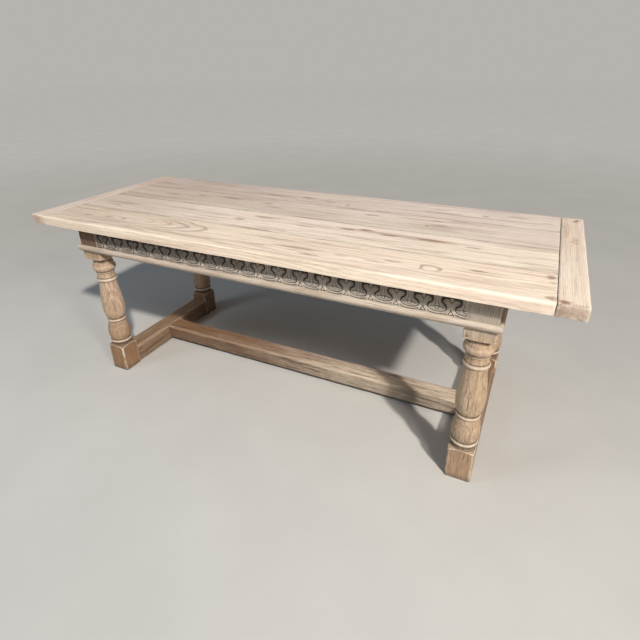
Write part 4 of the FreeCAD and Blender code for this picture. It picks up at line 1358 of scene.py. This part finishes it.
class TABLE_OT_pegs(bpy.types.Operator):
    """Drive the pegs of every joint"""

    bl_idname = "table.pegs"
    bl_label = "Pegs"

    def execute(self, context):
        tree = peg_tree()
        material = oak("dark_peg", tint("peg"), GRAIN_X, (51.0, 0.0, 0.0), ring=0.003, waver=0.004,
                       streaks=400.0)
        down = (0.0, 0.0, -1.0)
        rail, foot, cleat, joint = [], [], [], []
        for _, side_x, side_y in CORNERS:
            for height in RAIL_PEG_HEIGHTS:
                rail.append(((side_x * (INNER_X + RAIL_PEG_IN), side_y * FACE_Y, height), (0.0, side_y, 0.0)))
                rail.append(((side_x * FACE_X, side_y * (INNER_Y + RAIL_PEG_IN), height), (side_x, 0.0, 0.0)))
            spot = (side_x * (LEG_X + FOOT / 2), side_y * (LEG_Y - FOOT_PEG_IN), FOOT_PEG_HEIGHT)
            foot.append((spot, (side_x, 0.0, 0.0)))
        for side in (-1, 1):
            joint.append(((side * (LEG_X - JOINT_PEG_IN), 0.0, END_LOW), down))
            for index in range(len(BOARDS)):
                for share in CLEAT_PEG_SHARES:
                    y = -HALF_WIDTH + (index + share) * BOARD_WIDTH
                    cleat.append(((side * (CLEAT_INNER + CLEAT_PEG_IN), y, TOP_LOW), down))
        # Name, places, radius and length of each kind of peg
        groups = (
            ("rail_pegs", rail, 0.004, 0.045), ("end_stretcher_pegs", foot, 0.005, 0.084),
            ("cleat_pegs", cleat, 0.0045, 0.032), ("long_stretcher_pegs", joint, 0.005, 0.074),
        )
        for number, (name, spots, radius, depth) in enumerate(groups):
            points = new_mesh(name, [spot for spot, _ in spots])
            facing = points.attributes.new("facing", "FLOAT_VECTOR", "POINT")
            facing.data.foreach_set("vector", [c for _, way in spots for c in way])
            piece = place_object("driven_" + name, points)
            run_tree(piece, tree, {
                "Radius": radius, "Length": depth, "Proud": sizes().peg_proud, "Seed": number + 3,
                "Finish": material,
            })
            stand_for(name, piece, material)
        return {"FINISHED"}


# Timbers and fixings kept as they are in the frame

class TABLE_OT_plain_parts(bpy.types.Operator):
    """Finish the end rails, tongues, buttons, screws and pins"""

    bl_idname = "table.plain_parts"
    bl_label = "Plain parts"

    def execute(self, context):
        hidden = dict(ring=0.005, streaks=90.0, lime_share=0.25)
        finishes = {
            "board_tongues": oak("tongue_oak", tint("hidden"), GRAIN_X, (61.0, 0.0, 0.0), **hidden),
            "top_buttons": oak("button_oak", tint("hidden"), GRAIN_Y, (63.0, 0.0, 0.0), **hidden),
            "moulding_pins": iron("pin_iron"),
            "button_screws": iron("screw_iron"),
        }
        for side, name in ((-1, "end_rail_left"), (1, "end_rail_right")):
            finishes[name] = oak("limed_" + name, tint("frieze"), GRAIN_Y, (66.0 + side, 0.0, -0.6),
                                 ring=0.0058, pith=(0.0, -side * 0.84, 0.02), waver=0.016, streaks=70.0,
                                 streak_share=0.55, pore_share=0.5)
        for name, material in finishes.items():
            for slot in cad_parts[name].material_slots:
                slot.material = material
        return {"FINISHED"}


# Stage

class TABLE_OT_stage(bpy.types.Operator):
    """Set the floor, the light and the camera"""

    bl_idname = "table.stage"
    bl_label = "Stage"

    def execute(self, context):
        scene = context.scene
        corners = [(x * FLOOR_REACH, y * FLOOR_REACH, 0.0) for x, y in ((-1, -1), (1, -1), (1, 1), (-1, 1))]
        floor = place_object("floor", new_mesh("floor", corners, [(0, 1, 2, 3)]))
        material, n, shader, place = new_finish("pale_floor")
        mottle = n.noise(place, 2.2, 5.0, 0.6)
        # Painted light: the floor pales away from the table where the lamps' light thins out
        pale = n.mix(n.ramp(n.do("LENGTH", place), 2.0, 9.0), tint("floor"), tint("floor_far"))
        n.fill(shader, {
            "Base Color": n.mix(n.ramp(mottle, 0.3, 0.7, 0.05, 0.0), pale, (0.0, 0.0, 0.0)),
            "Roughness": n.ramp(mottle, 0.3, 0.7, 0.75, 0.9),
            "Specular IOR Level": 0.15,
        })
        floor.data.materials.append(material)

        world = bpy.data.worlds.new("soft_studio")
        scene.world = world
        world.use_nodes = True
        n = Nodes(world.node_tree)
        seen = 0.0
        for ray in ("Is Camera Ray", "Is Glossy Ray", "Is Transmission Ray"):
            seen = n.do("MAXIMUM", seen, n.out("ShaderNodeLightPath", output=ray))
        n.fill(world.node_tree.nodes["Background"], {
            "Color": n.mix(seen, COOL, (0.47, 0.455, 0.43)),
            "Strength": n.ramp(seen, 0.0, 1.0, 0.045, 1.0),
        })

        for name, kind, power, shade, width, spot, aim in LIGHTS:
            light = bpy.data.lights.new(name, kind)
            light.energy = power
            light.color = shade
            setattr(light, "angle" if kind == "SUN" else "size", width)
            lamp = place_object(name, light)
            lamp.location = spot
            lamp.rotation_euler = (lamp.location - Vector(aim)).to_track_quat("Z", "Y").to_euler()

        lens = bpy.data.cameras.new("camera")
        lens.sensor_width = CAMERA_SENSOR
        lens.lens = CAMERA_LENS
        lens.shift_y = CAMERA_SHIFT
        camera = place_object("camera", lens)
        stand = Matrix.Translation(CAMERA_PLACE)
        for angle, axis in ((CAMERA_YAW, "Z"), (math.pi / 2 - CAMERA_PITCH, "X"), (CAMERA_ROLL, "Z")):
            stand = stand @ Matrix.Rotation(angle, 4, axis)
        camera.matrix_world = stand
        scene.camera = camera
        scene.view_settings.view_transform = "Standard"
        return {"FINISHED"}


STEPS = (
    TABLE_OT_top_boards, TABLE_OT_cleats, TABLE_OT_turned_legs, TABLE_OT_carved_rails, TABLE_OT_mouldings,
    TABLE_OT_stretchers, TABLE_OT_pegs, TABLE_OT_plain_parts, TABLE_OT_stage,
)


class TABLE_PT_panel(bpy.types.Panel):
    """Sizes, colours and steps of the table"""

    bl_label = "Refectory table"
    bl_idname = "TABLE_PT_panel"
    bl_space_type = "VIEW_3D"
    bl_region_type = "UI"
    bl_category = "Table"

    def draw(self, context):
        for group in (context.scene.table_sizes, context.scene.table_colours):
            column = self.layout.column(align=True)
            for name in group.__annotations__:
                column.prop(group, name)
        for step in STEPS:
            self.layout.operator(step.bl_idname)


CLASSES = (TableSizes, OakColours, *STEPS, TABLE_PT_panel)


def register():
    for one in CLASSES:
        bpy.utils.register_class(one)
    bpy.types.Scene.table_sizes = PointerProperty(type=TableSizes)
    bpy.types.Scene.table_colours = PointerProperty(type=OakColours)


def unregister():
    del bpy.types.Scene.table_colours
    del bpy.types.Scene.table_sizes
    for one in reversed(CLASSES):
        bpy.utils.unregister_class(one)


def main():
    register()
    for step in STEPS:
        getattr(bpy.ops.table, step.bl_idname.split(".")[1])()
    bpy.context.view_layer.update()


if __name__ == "__main__":
    main()
